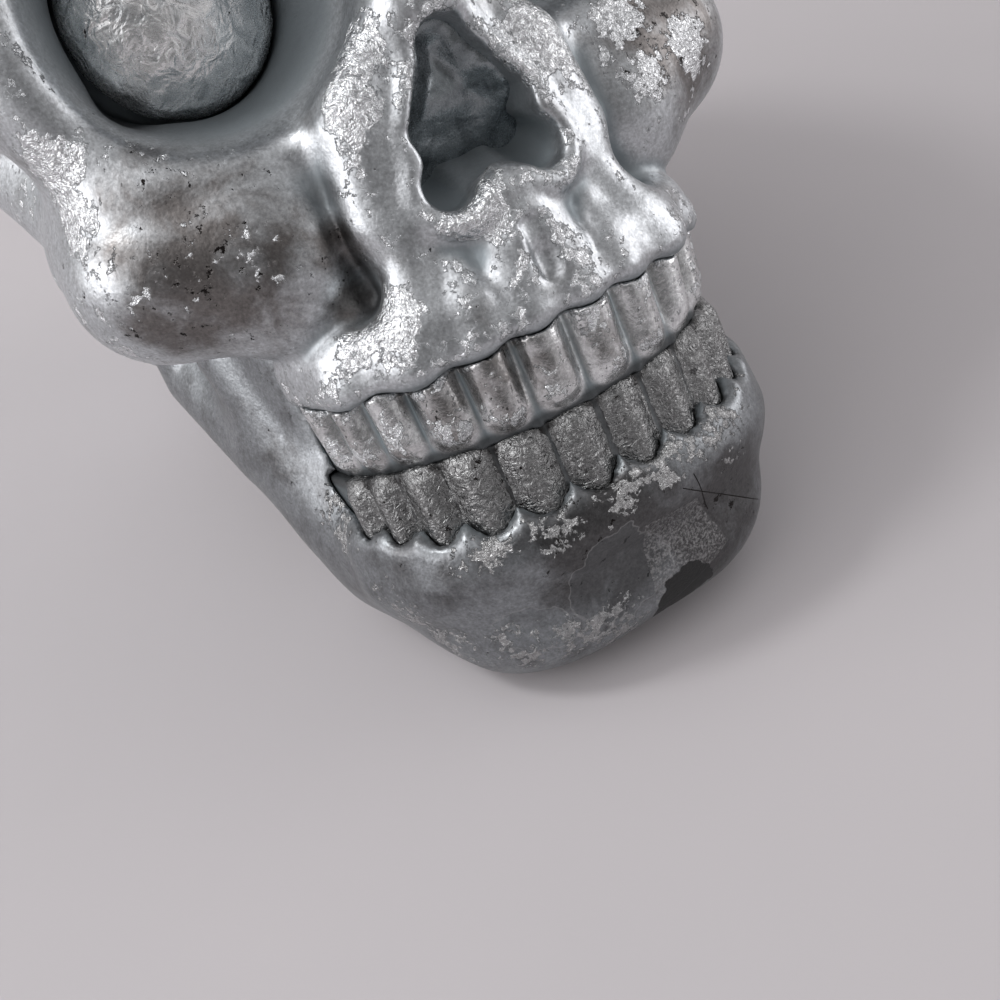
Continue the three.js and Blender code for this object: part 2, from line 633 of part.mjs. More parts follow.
// Origin under the middle of the whole decoration, on the table
const skull = new THREE.Group();
skull.add(head, base);
skull.updateMatrixWorld(true);
const middle = new THREE.Box3().setFromObject(skull, true).getCenter(new THREE.Vector3());
skull.position.set(-middle.x, -middle.y, 0);

const decoration = new THREE.Group();
decoration.add(skull);
export default decoration;
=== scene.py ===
"""Silver-leafed skull decoration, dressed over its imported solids.

The sculpt is drawn upright in millimetres (X to the viewer's right, Y to the back, Z up) and is then
leaned back onto the table in the same way as the solids.
"""
import logging
import math
from dataclasses import dataclass, field
from enum import Enum
from functools import partial, reduce
from typing import Any, Callable, NamedTuple, Sequence

import bpy
import numpy as np
import openvdb
from mathutils import Matrix, Vector


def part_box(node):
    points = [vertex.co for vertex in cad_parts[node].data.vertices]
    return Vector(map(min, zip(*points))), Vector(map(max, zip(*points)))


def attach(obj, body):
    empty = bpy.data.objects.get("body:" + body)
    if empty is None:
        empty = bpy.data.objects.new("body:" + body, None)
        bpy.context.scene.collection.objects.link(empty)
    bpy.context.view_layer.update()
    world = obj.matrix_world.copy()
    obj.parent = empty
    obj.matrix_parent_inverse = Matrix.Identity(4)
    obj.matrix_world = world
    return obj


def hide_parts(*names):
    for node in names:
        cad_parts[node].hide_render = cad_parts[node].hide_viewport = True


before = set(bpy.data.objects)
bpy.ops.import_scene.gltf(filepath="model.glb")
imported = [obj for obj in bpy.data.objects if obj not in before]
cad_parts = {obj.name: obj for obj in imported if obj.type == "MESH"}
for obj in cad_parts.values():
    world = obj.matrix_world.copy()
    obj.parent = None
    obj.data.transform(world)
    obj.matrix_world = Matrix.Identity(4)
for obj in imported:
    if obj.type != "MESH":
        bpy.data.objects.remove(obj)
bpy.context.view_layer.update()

MM = 0.001
LOG = logging.getLogger("skull")
Array = np.ndarray
Point = tuple[float, float, float]
Rod = tuple[float, float, float, float]


class Slot(Enum):
    """Material slots of the record."""

    LEAF = "silver_leaf"
    JAW = "jaw_silver"
    TOOTH = "tooth_silver"
    ROUGH = "rough_silver"
    PLASTIC = "black_plastic"
    FELT = "pad_felt"


class Spots(NamedTuple):
    """Points of the upright sculpt, as three arrays in millimetres."""

    x: Array
    y: Array
    z: Array

    def folded(self) -> "Spots":
        """The same points folded onto the right half."""
        return Spots(np.abs(self.x), self.y, self.z)

    def moved(self, dx: float, dy: float, dz: float) -> "Spots":
        """The same points moved by one step."""
        return Spots(self.x + np.float32(dx), self.y + np.float32(dy), self.z + np.float32(dz))


Field = Callable[[Spots], Array]


# Distance fields: negative inside


def blend(a: Array, b: Array, k: float) -> Array:
    """Joins two fields with a soft fillet of about k millimetres."""
    h = np.clip(0.5 + 0.5 * (b - a) / k, 0, 1)
    return b + (a - b) * h - k * h * (1 - h)


def trim(a: Array, b: Array, k: float) -> Array:
    """Keeps what is inside both fields, with a softened edge."""
    return -blend(-a, -b, k)


def ramp(v: Array, a: float, b: float) -> Array:
    """Smooth step from 0 at a to 1 at b, either way round."""
    t = np.clip((v - a) / (b - a), 0, 1)
    return t * t * (3 - 2 * t)


def egg(p: Spots, c: Point, r: Point) -> Array:
    """Field of an ellipsoid.

    Args:
        p: Points to measure.
        c: Centre.
        r: Half sizes.

    Returns:
        About the distance to its surface.
    """
    u, v, w = p.x - c[0], p.y - c[1], p.z - c[2]
    near = np.sqrt((u / r[0]) ** 2 + (v / r[1]) ** 2 + (w / r[2]) ** 2)
    slope = np.sqrt((u / r[0] ** 2) ** 2 + (v / r[1] ** 2) ** 2 + (w / r[2] ** 2) ** 2) + 1e-6
    return near * (near - 1) / slope


def bar(p: Spots, *points: Rod) -> Array:
    """Field of a tapering bar through points given as x, y, z and radius."""
    best = None
    for (ax, ay, az, ar), (bx, by, bz, br) in zip(points, points[1:]):
        dx, dy, dz = bx - ax, by - ay, bz - az
        along = (p.x - ax) * dx + (p.y - ay) * dy + (p.z - az) * dz
        t = np.clip(along / (dx * dx + dy * dy + dz * dz), 0, 1)
        far = np.sqrt((p.x - ax - t * dx) ** 2 + (p.y - ay - t * dy) ** 2 + (p.z - az - t * dz) ** 2)
        d = far - ar - (br - ar) * t
        best = d if best is None else np.minimum(best, d)
    return best


@dataclass(frozen=True)
class Lumps:
    """Smooth random lumps with one grain size, the same on every run."""

    size: float
    seed: int
    cells: int = 32

    def at(self, p: Spots) -> Array:
        """Height of the lumps at points, from 0 to 1."""
        table = np.random.default_rng(self.seed).random((self.cells,) * 3).astype(np.float32)
        value = np.zeros_like(p.x)
        base, part = [], []
        for axis in p:
            scaled = axis / self.size
            low = np.floor(scaled)
            base.append(low.astype(np.int64))
            part.append(ramp(scaled - low, 0, 1))
        for corner in range(8):
            bits = [(corner >> n) & 1 for n in range(3)]
            weight = 1.0
            for bit, t in zip(bits, part):
                weight = weight * (t if bit else 1 - t)
            spot = tuple((low + bit) % self.cells for low, bit in zip(base, bits))
            value += weight * table[spot]
        return value


@dataclass(frozen=True)
class Arch:
    """Dental arch seen from above."""

    half: float = 34.0
    depth: float = 31.5
    y: float = -58.0
    power: float = 2.2

    def outside(self, p: Spots) -> Array:
        """How far points stand outside the arch's front line."""
        back = np.where(p.y < self.y, (self.y - p.y) / self.depth, 0.0)
        ring = (np.abs(p.x / self.half) ** self.power + back ** self.power) ** (1 / self.power)
        return (ring - 1) * 0.5 * (self.half + self.depth)

    def towards_back(self, p: Spots) -> Array:
        """0 at the front of the arch, 1 at its back ends."""
        return ramp(p.y, self.y - self.depth + 1.5, self.y - 2)

    def stations(self, lengths: Sequence[float], inset: float) -> list[Rod]:
        """Places along half the arch.

        Args:
            lengths: Arc lengths from the mid-line.
            inset: How far the line lies inside the arch.

        Returns:
            For each length the place and the unit tangent: x, y, tx, ty.
        """
        a = np.linspace(0, np.pi / 2, 3000)
        xs = (self.half - inset) * np.sin(a) ** (2 / self.power)
        ys = self.y - (self.depth - inset) * np.cos(a) ** (2 / self.power)
        s = np.concatenate([[0], np.cumsum(np.hypot(np.diff(xs), np.diff(ys)))])
        found = []
        for m in lengths:
            x, y = np.interp(m, s, xs), np.interp(m, s, ys)
            tx = np.interp(m + 1.5, s, xs) - np.interp(m - 1.5, s, xs)
            ty = np.interp(m + 1.5, s, ys) - np.interp(m - 1.5, s, ys)
            if m < 1.5:
                tx, ty = 1.0, 0.0
            size = math.hypot(tx, ty)
            found.append((float(x), float(y), float(tx / size), float(ty / size)))
        return found


@dataclass(frozen=True)
class ToothRow:
    """One row of barrel-fronted teeth on its rail, with thin ridges in the gaps."""

    widths: tuple[float, ...]
    inset: float
    low: float
    high: float
    rail_low: float
    rail_high: float
    rail_setback: float
    bow: float = 3.4
    gap: float = 1.7
    ridge: float = 0.45
    back_rise: float = 0.8
    lean: float = 0.0
    arch: Arch = Arch()
    rail_depth: float = 6.0
    rail_end_y: float = -52.0
    root_fillet: float = 1.8

    def lifted(self, p: Spots) -> Spots:
        """Folded points with the bite line's rise towards the back taken out."""
        q = p.folded()
        return Spots(q.x, q.y, q.z - self.back_rise * ramp(q.x, 8, 26))

    def edges(self) -> list[float]:
        """Arc lengths of the gaps, from the mid-line out."""
        return [sum(self.widths[:n]) for n in range(len(self.widths) + 1)]

    def middles(self) -> list[float]:
        """Arc lengths of the tooth centres."""
        edges = self.edges()
        return [0.5 * (a + b) for a, b in zip(edges, edges[1:])]

    def crowns(self, q: Spots) -> Array:
        """The teeth alone, on lifted points."""
        best = None
        for (x, y, tx, ty), width in zip(self.arch.stations(self.middles(), self.inset), self.widths):
            dx, dy = q.x - x, q.y - y
            along = dx * tx + dy * ty
            deep = dx * ty - dy * tx + self.bow - self.lean * (q.z - self.low)
            half = 0.5 * (width - self.gap)
            near = np.hypot(along / half, deep / self.bow)
            slope = np.hypot(along / half ** 2, deep / self.bow ** 2) + 1e-6
            side = near * (near - 1) / slope
            level = np.abs(q.z - 0.5 * (self.low + self.high)) - 0.5 * (self.high - self.low)
            d = trim(side, level, 3.0)
            best = d if best is None else np.minimum(best, d)
        return best

    def field(self, p: Spots) -> Array:
        """The whole row."""
        q = self.lifted(p)
        inner = self.arch.outside(q) + self.rail_setback
        level = np.maximum(self.rail_low - q.z, q.z - self.rail_high)
        rail = np.maximum(np.maximum(inner, -inner - self.rail_depth), level)
        rail = np.maximum(rail, p.y - self.rail_end_y)
        d = blend(self.crowns(q), rail, self.root_fillet)
        for x, y, _, _ in self.arch.stations(self.edges()[:-1], self.rail_setback):
            ridge = np.hypot(q.x - x, q.y - y) - self.ridge
            d = blend(d, np.maximum(ridge, level), 0.7)
        return d


@dataclass(frozen=True)
class SkullForm:
    """The bones: sizes in millimetres, and the fields that they give."""

    arch: Arch = Arch()
    lean: float = 25.0
    stand_level: float = 33.0
    pad_height: float = 1.5
    wall: float = 3.0
    gap: float = 0.3
    fit: float = 0.08
    seam_y: float = -2.0
    vault_z: float = 124.0
    neck_y: float = 20.0
    neck_z: float = 82.0
    neck_size: Point = (41, 46, 33)
    base_radius: float = 16.0
    base_plate: float = 2.0
    neck_ring: float = 6.0
    eye_x: float = 23.6
    eye_z: float = 114.5
    socket_radius: float = 20.0
    socket_mouth_y: float = -76.0
    socket_back_y: float = -50.0
    ball_radius: float = 14.6
    ball_bulge: float = 8.6
    ball_y: float = -57.3
    nose_z: float = 86.5
    nose_rise: float = 8.0
    nose_radius: float = 8.9
    nose_taper: float = 5.1
    nose_front_y: float = -84.0
    lobe_x: float = 6.9
    lobe_z: float = 79.2
    lobe_radius: float = 3.4
    roots: tuple[tuple[Rod, Rod], ...] = (
        ((19.5, -82, 60, 5), (13.5, -82, 74, 3.2)), ((11, -86.2, 60, 3.2), (9.5, -84.5, 69, 2.2)),
        ((4.2, -87, 60, 3.2), (3.6, -86, 70, 2.2)), ((27, -74.5, 60, 4.4), (23, -73, 70, 3)))
    gum_z: float = 57.8
    lower_gum_z: float = 34.2
    chin_half: float = 34.0
    chin_front: float = 84.5
    chin_top_z: float = 38.0
    mouth_setback: float = 12.0
    upper_row: ToothRow = ToothRow((8.5, 8.2, 8.4, 7.4, 6.6, 6.6), 0.6, 46.6, 61.5, 45.3, 60.4, 2.9,
                                   lean=0.1)
    lower_row: ToothRow = ToothRow((8.2, 8.2, 8.2, 7.4, 6.6, 6.6), 0.0, 31.5, 45.4, 32.0, 45.2, 2.0,
                                   arch=Arch(half=34.5, depth=29.9))

    def on_table(self, p: Spots) -> Spots:
        """The points leaned back and set down, before the whole is centred."""
        c, s = math.cos(math.radians(self.lean)), math.sin(math.radians(self.lean))
        return Spots(p.x, c * p.y + s * p.z, -s * p.y + c * p.z - self.stand_level)

    def neck_centre(self) -> float:
        """Where the base plate sits, along Y on the table."""
        c, s = math.cos(math.radians(self.lean)), math.sin(math.radians(self.lean))
        _, deep, tall = self.neck_size
        reach = math.hypot(deep * s, tall * c)
        y, z = self.neck_y + deep ** 2 * s / reach, self.neck_z - tall ** 2 * c / reach
        return c * y + s * z

    def nose_outline(self, x: Array, z: Array) -> Array:
        """Pear-shaped nose opening in the front view."""
        lobe = np.hypot(x - self.lobe_x, z - self.lobe_z) - self.lobe_radius
        t = np.clip((z - self.nose_z) / self.nose_rise, 0, 1)
        body = np.hypot(x, z - self.nose_z - self.nose_rise * t) - self.nose_radius + self.nose_taper * t
        return blend(lobe, body, 2.0)

    def nose_walls(self, q: Spots) -> Array:
        """Side walls of the nose opening, with a floor that climbs to the back."""
        sunk = np.maximum(0, q.y - self.nose_front_y)
        climb = 0.5 * sunk * np.clip((92 - q.z) / 14, 0, 1)
        return self.nose_outline(q.x, q.z - climb) + 0.08 * sunk

    def socket(self, q: Spots) -> Array:
        """Round eye socket that narrows to the ball."""
        narrow = self.socket_radius - 0.3 * np.maximum(0, q.y - self.socket_mouth_y)
        radius = np.maximum(narrow, self.ball_radius + 0.4)
        wall = 0.95 * (np.hypot(q.x - self.eye_x, q.z - self.eye_z) - radius)
        return np.maximum(wall, q.y - self.socket_back_y)

    def braincase(self, q: Spots) -> Array:
        """Vault, neck, forehead and temples."""
        d = egg(q, (0, -2, self.vault_z), (55, 74, 58))
        d = blend(d, egg(q, (0, self.neck_y, self.neck_z), self.neck_size), 14)
        d = blend(d, egg(q, (0, -33, self.vault_z + 14), (45, 44, 42)), 14)
        d = blend(d, bar(q, (42, 8, 88, 9), (39, 4, 72, 6)), 8)
        d = blend(d, egg(q, (0, -46, 92), (36, 34, 34)), 8)
        return trim(d, -egg(q, (60, -34, self.vault_z - 8), (12, 20, 19)), 10)

    def brow_and_bridge(self, q: Spots, d: Array) -> Array:
        """Adds the socket's rim, the brow, the nose bridge and the ridge beside the nose."""
        ring = np.hypot(q.x - self.eye_x - 0.4, q.z - self.eye_z) - self.socket_radius - 3.5
        rim = np.hypot(ring, 0.8 * (q.y + 66 - 0.12 * (q.x - self.eye_x))) - 5.5
        top = self.eye_z + self.socket_radius
        d = blend(d, rim, 7)
        d = blend(d, bar(q, (0, -76, top - 2.5, 7), (20, -76, top + 1.5, 7.5), (40, -64, top - 4, 7)), 10)
        d = blend(d, bar(q, (44, -60, self.eye_z, 7), (46, -36, self.eye_z + 2, 8)), 10)
        d = blend(d, bar(q, (0, -78, 122, 9), (0, -82, 109, 8), (0, -82, 101, 7)), 6)
        return blend(d, bar(q, (9, -77, 108, 6), (12.5, -80, 92, 5.5), (14.5, -79, 79, 6)), 6)

    def maxilla(self, q: Spots) -> Array:
        """Upper jaw with the swellings over the tooth roots."""
        side = np.maximum(np.abs(self.arch.outside(q) + 4) - 1.5, 0)
        level = np.maximum(np.abs(q.z - self.gum_z - 3.7) - 2.5, 0)
        band = trim(np.hypot(side, level) - 3, q.y - self.arch.y + 2, 5)
        d = blend(egg(q, (0, -57, 72), (24, 31, 18)), band, 5)
        for root in self.roots:
            d = blend(d, bar(q, *root), 3)
        return d

    def cheekbone(self, q: Spots) -> Array:
        """Cheekbone bulb with its arch back to the temple."""
        d = egg(q, (39.5, -60, 84), (14.5, 16, 13.5))
        d = blend(d, egg(q, (27.5, -66.5, 84.5), (11.5, 11.5, 11.5)), 7)
        d = blend(d, egg(q, (27, -67.5, 77), (11, 11.5, 12)), 8)
        return blend(d, bar(q, (45, -52, 92, 7), (50, -32, 105, 5.5), (50, -6, 110, 5)), 7)

    def gum_line(self, q: Spots) -> Array:
        """Height of the wavy lip over the upper teeth."""
        wave = 0.5 * np.cos(0.74 * q.x)
        return self.gum_z + wave - 0.4 * ramp(q.x, 3, 20) + self.arch.towards_back(q)

    def upper(self, p: Spots) -> Array:
        """The whole upper skull."""
        q = p.folded()
        d = self.brow_and_bridge(q, self.braincase(q))
        d = blend(d, self.maxilla(q), 5)
        d = blend(d, self.cheekbone(q), 1.6 + 7.4 * ramp(q.z, 84, 95))
        rim_y = -87.4 + 0.15 * (q.z - 76) + 0.018 * q.x * q.x
        d = blend(d, np.hypot(self.nose_outline(q.x, q.z) - 1.6, 0.8 * (q.y - rim_y)) - 1.9, 1.8)
        d = trim(d, -np.maximum(self.nose_walls(q), q.y + 68), 0.8)
        d = blend(d, bar(q, (0, -85.5, 70, 5), (0, -86, 77.4, 1.8)), 2.5)
        d = self.philtrum(q, d)
        d = trim(d, -self.socket(q), 4)
        return trim(d, self.gum_line(q) - q.z, 2)

    def philtrum(self, q: Spots, d: Array) -> Array:
        """Adds the slot on the mid-line and the grooves between the root swellings."""
        front = ramp(q.y, -80, -84)
        slot = np.hypot(q.x / 1.5, np.maximum(np.abs(q.z - 67.4) - 3.4, 0)) - 1
        d = d + front * (0.9 * ramp(slot, 0.35, -0.3) - 0.3 * np.exp(-(((slot - 0.8) / 0.5) ** 2)))
        side = q.x - 7.4 - 0.12 * (q.z - 62)
        return d + front * 0.7 * np.exp(-((side / 1.3) ** 2)) * ramp(np.abs(q.z - 67), 6, 3)

    def face_half(self, p: Spots) -> Array:
        """Front half of the head, up to the seam."""
        return trim(self.upper(p), p.y - self.seam_y + 0.5 * self.gap, 0.5)

    def back_half(self, p: Spots) -> Array:
        """Back half of the head, flat under the neck, with the ring round the base plate."""
        t = self.on_table(p)
        d = trim(self.upper(p), self.seam_y + 0.5 * self.gap - p.y, 0.5)
        far = np.hypot(t.x, t.y - self.neck_centre())
        top = self.pad_height + self.base_plate + self.neck_ring
        d = np.minimum(d, np.maximum(far - self.base_radius - self.wall, t.z - top))
        d = trim(d, self.pad_height - t.z, 0.4)
        rebate = np.maximum(far - self.base_radius - self.gap,
                            t.z - self.pad_height - self.base_plate - self.gap)
        return np.maximum(d, -rebate)

    def jaw_block(self, p: Spots) -> Array:
        """The jaw before the upper skull and the teeth are let into it."""
        q = p.folded()
        out = self.arch.outside(q)
        half = self.chin_half - 0.2 * np.maximum(24 - q.z, 0) - 0.12 * np.maximum(q.z - 24, 0)
        front = np.where(q.y < -46, (-46 - q.y) / (self.chin_front - 46), 0.0)
        plan = (((q.x / half) ** 3 + front ** 3) ** (1 / 3) - 1) * 30
        under = 4.2 - q.z + 0.42 * np.maximum(0, q.y + 70)
        d = trim(plan, np.maximum(q.z - self.chin_top_z, under), 15)
        d = trim(d, q.y + 20, 10)
        branch = bar(q, (27.5, -48, 35, 9.3), (33, -34, 50, 8.6), (35, -14, 64, 9), (35.5, -13, 80, 8))
        d = blend(d, branch, 12)
        low = self.lower_row.arch.outside(q)
        side = np.maximum(np.abs(low + 4.3 + 0.3 * np.maximum(q.y + 64, 0)) - 1.5, 0)
        gum = np.hypot(side, np.maximum(np.abs(q.z - self.lower_gum_z + 1.2) - 3, 0)) - 3.5
        d = blend(d, np.maximum(gum, q.y + 40), 9)
        d = blend(d, bar(q, (26, -54, 34, 6.5), (26.5, -52, 50, 6), (27.5, -49, 68, 6.5)), 7)
        d = blend(d, bar(q, (29, -47, 40, 7.5), (31, -42, 52, 7), (32.5, -37, 68, 7.5)), 7)
        bed = self.tooth_bed(q, low)
        d = d - 0.15 * np.exp(-((bed - 1.0) ** 2)) * ramp(q.y, -44, -58) * ramp(low, -5, -2)
        d = trim(d, -bed, 2.6)
        return trim(d, -out - self.mouth_setback, 3)

    def tooth_bed(self, q: Spots, low: Array) -> Array:
        """Scalloped bed that the lower teeth stand in, behind the line of their fronts."""
        row = self.lower_row
        gum = self.lower_gum_z + 4.6 + 6 * self.arch.towards_back(q)
        bed = gum - q.z
        for x, y, tx, ty in row.arch.stations(row.middles(), row.inset):
            along = (q.x - x) * tx + (q.y - y) * ty
            bed = np.minimum(bed, np.hypot(along, np.minimum(0, q.z - gum)) - 4.6)
        bed = np.maximum(bed, np.maximum(-low - row.rail_setback, low - 8))
        return np.maximum(bed, q.y + 58)

    def jaw(self, p: Spots) -> Array:
        """The finished jaw, clear of the bone above and of both tooth rows."""
        d = np.maximum(self.jaw_block(p), self.fit - self.upper(p))
        d = np.maximum(d, self.fit - self.upper_row.field(p))
        d = np.maximum(d, self.fit - self.lower_row.field(p))
        return trim(d, self.pad_height - self.on_table(p).z, 0.6)

    def upper_teeth(self, p: Spots) -> Array:
        """Upper row, clear of the bone."""
        return np.maximum(self.upper_row.field(p), 0.1 - self.upper(p))

    def lower_teeth(self, p: Spots) -> Array:
        """Lower row."""
        return self.lower_row.field(p)

    def eye(self, p: Spots) -> Array:
        """Ball insert of the right socket, flat at its seat."""
        size = (self.ball_radius, self.ball_bulge, self.ball_radius)
        ball = egg(p, (self.eye_x, self.ball_y, self.eye_z), size)
        return np.maximum(ball, p.y - self.socket_back_y + self.gap)

    def nose(self, p: Spots) -> Array:
        """Wedge that fills the back of the nose opening and runs up its walls in a hollow curve."""
        q = p.folded()
        walls = self.nose_walls(q)
        front = -76.0 - (4.5 + 3.0 * ramp(walls, -4.5, 0.3)) * ramp(q.z, 80, 91)
        return trim(walls - 0.8, np.maximum(front - q.y, q.y + 68.3), 0.6)


# Meshes from fields


@dataclass(frozen=True)
class Placement:
    """Takes upright millimetres to the table frame in metres."""

    form: SkullForm
    front_pad_y: float = -24.0

    def matrix(self) -> Matrix:
        """The turn and the shift, with the centring read from a pad of the solids."""
        low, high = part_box("pad_front_left")
        shift = 0.5 * (low.y + high.y) - self.front_pad_y * MM
        turn = Matrix.Rotation(-math.radians(self.form.lean), 4, "X")
        return Matrix.Translation((0.0, shift, -self.form.stand_level * MM)) @ turn

    def to_table(self, p: Point) -> Vector:
        """One point of the sculpt in the table frame."""
        return self.matrix() @ (Vector(p) * MM)


@dataclass
class Carver:
    """Cuts closed meshes out of fields, in small blocks near the surface."""

    placement: Placement
    block: int = 8
    batch: int = 400
    band: int = 3
    margin: float = 2.0

    def sample(self, shape: Field, low: Point, high: Point, step: float) -> Array:
        """Field values on a box grid, exact only near the surface.

        Args:
            shape: Field to sample.
            low: Lowest corner in millimetres.
            high: Highest corner in millimetres.
            step: Grid step in millimetres.

        Returns:
            Values clipped to a band of a few steps.
        """
        size, limit = self.block, self.band * step
        count = [math.ceil((b - a) / (step * size)) for a, b in zip(low, high)]
        values = np.empty([n * size for n in count], np.float32)
        middle = [np.float32(a + step * (size * (np.arange(n) + 0.5) - 0.5)) for a, n in zip(low, count)]
        rough = shape(Spots(*[m.astype(np.float32) for m in np.meshgrid(*middle, indexing="ij")]))
        near = np.abs(rough) < self.margin * step * size
        values[:] = np.sign(rough).repeat(size, 0).repeat(size, 1).repeat(size, 2) * limit
        inner = [m.astype(np.float32) * step for m in np.meshgrid(*[np.arange(size)] * 3, indexing="ij")]
        active = np.argwhere(near)
        for start in range(0, len(active), self.batch):
            part = active[start:start + self.batch]
            corner = [np.float32(a + step * size * part[:, n]) for n, a in enumerate(low)]
            spots = Spots(*[(c[:, None, None, None] + m[None]).astype(np.float32)
                            for c, m in zip(corner, inner)])
            found = np.clip(shape(spots), -limit, limit)
            for (i, j, k), cube in zip(part * size, found):
                values[i:i + size, j:j + size, k:k + size] = cube
        return values

    def carve(self, name: str, shape: Field, low: Point, high: Point, step: float) -> "Carving":
        """Makes a mesh piece from a field.

        Args:
            name: Piece name.
            shape: Field, negative inside.
            low: Lowest corner of the box that holds it, in millimetres.
            high: Highest corner of that box.
            step: Size of a face, in millimetres.

        Returns:
            The piece with its upright points.
        """
        values = self.sample(shape, low, high, step)
        grid = openvdb.FloatGrid(background=self.band * step)
        grid.copyFromArray(values)
        points, triangles, quads = grid.convertToPolygons(isovalue=0.0, adaptivity=0.0)
        points = (points * step + np.array(low, np.float32)).astype(np.float32)
        return Carving(name, shape, points, quads.tolist() + triangles.tolist(), self.placement)


@dataclass
class Carving:
    """A carved surface before it becomes an object: upright points that can still be worked."""

    name: str
    shape: Field
    points: Array
    faces: list[list[int]]
    placement: Placement
    fine: float = 1.6
    broad: float = 4.5
    marks: dict[str, Array] = field(default_factory=dict)

    def spots(self) -> Spots:
        """The points as three arrays."""
        return Spots(*[np.ascontiguousarray(self.points[:, n]) for n in range(3)])

    def bend(self, reach: float) -> tuple[Array, Array]:
        """Outward normals, and how much the surface bulges over a reach in millimetres."""
        p = self.spots()
        centre = self.shape(p)
        sides, total = [], -6 * centre
        for axis in range(3):
            step = [0.0, 0.0, 0.0]
            step[axis] = reach
            plus, minus = self.shape(p.moved(*step)), self.shape(p.moved(*[-s for s in step]))
            sides.append(plus - minus)
            total = total + plus + minus
        normal = np.stack(sides, 1)
        normal /= np.linalg.norm(normal, axis=1, keepdims=True) + 1e-9
        return normal, total / (2 * reach)

    def bulges(self) -> tuple[Array, Array]:
        """How much the surface bulges over the fine and the broad reach."""
        return self.bend(self.fine)[1], self.bend(self.broad)[1]

    def push(self, height: Array) -> None:
        """Moves the surface along its normals by a height in millimetres."""
        normal, _ = self.bend(0.6)
        self.points = self.points + normal * height[:, None].astype(np.float32)

    def mark(self, name: str, value: Array) -> None:
        """Keeps a value from 0 to 1 on each point, for the finish to read."""
        self.marks[name] = np.clip(value, 0, 1).astype(np.float32)

    def piece(self, mirrored: bool = False) -> bpy.types.Object:
        """The finished object, with its place in its mesh.

        Args:
            mirrored: Whether the piece is turned over to the left half.

        Returns:
            A smooth-shaded mesh object at the origin.
        """
        points = self.points * np.array([-1 if mirrored else 1, 1, 1], np.float32) * MM
        faces = [face[::-1] for face in self.faces] if mirrored else self.faces
        mesh = bpy.data.meshes.new(self.name)
        mesh.from_pydata(points.tolist(), [], faces)
        for name, value in self.marks.items():
            mesh.attributes.new(name, "FLOAT", "POINT").data.foreach_set("value", value)
        mesh.transform(self.placement.matrix())
        mesh.shade_smooth()
        thing = bpy.data.objects.new(self.name, mesh)
        bpy.context.scene.collection.objects.link(thing)
        return thing


def settle(piece: bpy.types.Object, node: str) -> bpy.types.Object:
    """Lets a piece ride on the body and stand for its solid.

    Args:
        piece: Piece to settle.
        node: Solid that it stands for.

    Returns:
        The same piece.
    """
    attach(piece, "root")
    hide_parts(node)
    LOG.info("%s: %d faces for %s", piece.name, len(piece.data.polygons), node)
    return piece


# Finishes


Adder = Callable[..., Any]
MODES = {
    "Math": "operation", "VectorMath": "operation", "Mix": "data_type", "MapRange": "interpolation_type"}


def linear(code: str) -> tuple[float, float, float, float]:
    """An sRGB hex colour as linear RGBA."""
    parts = [int(code[n:n + 2], 16) / 255 for n in (1, 3, 5)]
    lin = [v / 12.92 if v <= 0.04045 else ((v + 0.055) / 1.055) ** 2.4 for v in parts]
    return (lin[0], lin[1], lin[2], 1.0)


def per(size: float) -> float:
    """Texture scale on metres for a pattern of a size in millimetres."""
    return 1.0 / (size * MM)


def add_node(tree: bpy.types.NodeTree, kind: str, *values: Any, out: str | None = None, **named: Any) -> Any:
    """Adds one node with its settings and links.

    Args:
        tree: Tree that gets the node.
        kind: Node type without its ShaderNode prefix, and its mode where it has one.
        values: Numbers, hex colours or sockets for the inputs in use, in their order.
        out: Name of the output to give back, if it isn't the first in use.
        named: Inputs where the name starts with a capital, settings of the node where it doesn't.

    Returns:
        The output socket, or None on a node that has none.
    """
    kind, _, mode = kind.partition(" ")
    node = tree.nodes.new("ShaderNode" + kind)
    if mode:
        setattr(node, MODES[kind], mode)
    filled = []
    for key, value in named.items():
        if key[0].isupper():
            filled.append((node.inputs[key.replace("_", " ")], value))
        else:
            setattr(node, key, value)
    filled += zip([socket for socket in node.inputs if socket.enabled], values)
    for socket, value in filled:
        if isinstance(value, bpy.types.NodeSocket):
            tree.links.new(value, socket)
        else:
            socket.default_value = linear(value) if isinstance(value, str) else value
    if out:
        return node.outputs[out]
    return next((socket for socket in node.outputs if socket.enabled), None)


class Layers(NamedTuple):
    """What a finish hands to its shader; the height is in millimetres."""

    colour: Any
    metallic: Any
    rough: Any
    height: Any


@dataclass(frozen=True)
class Finish:
    """What all finishes share: a name, and layers that go to one shader."""

    name: str = ""
    specular: float = 0.5

    def layers(self, add: Adder) -> Layers:
        """The layers for the shader, made by each finish."""
        raise NotImplementedError

    def material(self) -> bpy.types.Material:
        """The finished material."""
        made = bpy.data.materials.new(self.name)
        made.use_nodes = True
        made.node_tree.nodes.clear()
        add = partial(add_node, made.node_tree)
        colour, metallic, rough, height = self.layers(add)
        normal = add("Bump", Height=height, Distance=MM, Strength=1.0)
        add("OutputMaterial", add("BsdfPrincipled", Base_Color=colour, Metallic=metallic, Roughness=rough,
                                  Specular_IOR_Level=self.specular, Normal=normal))
        return made


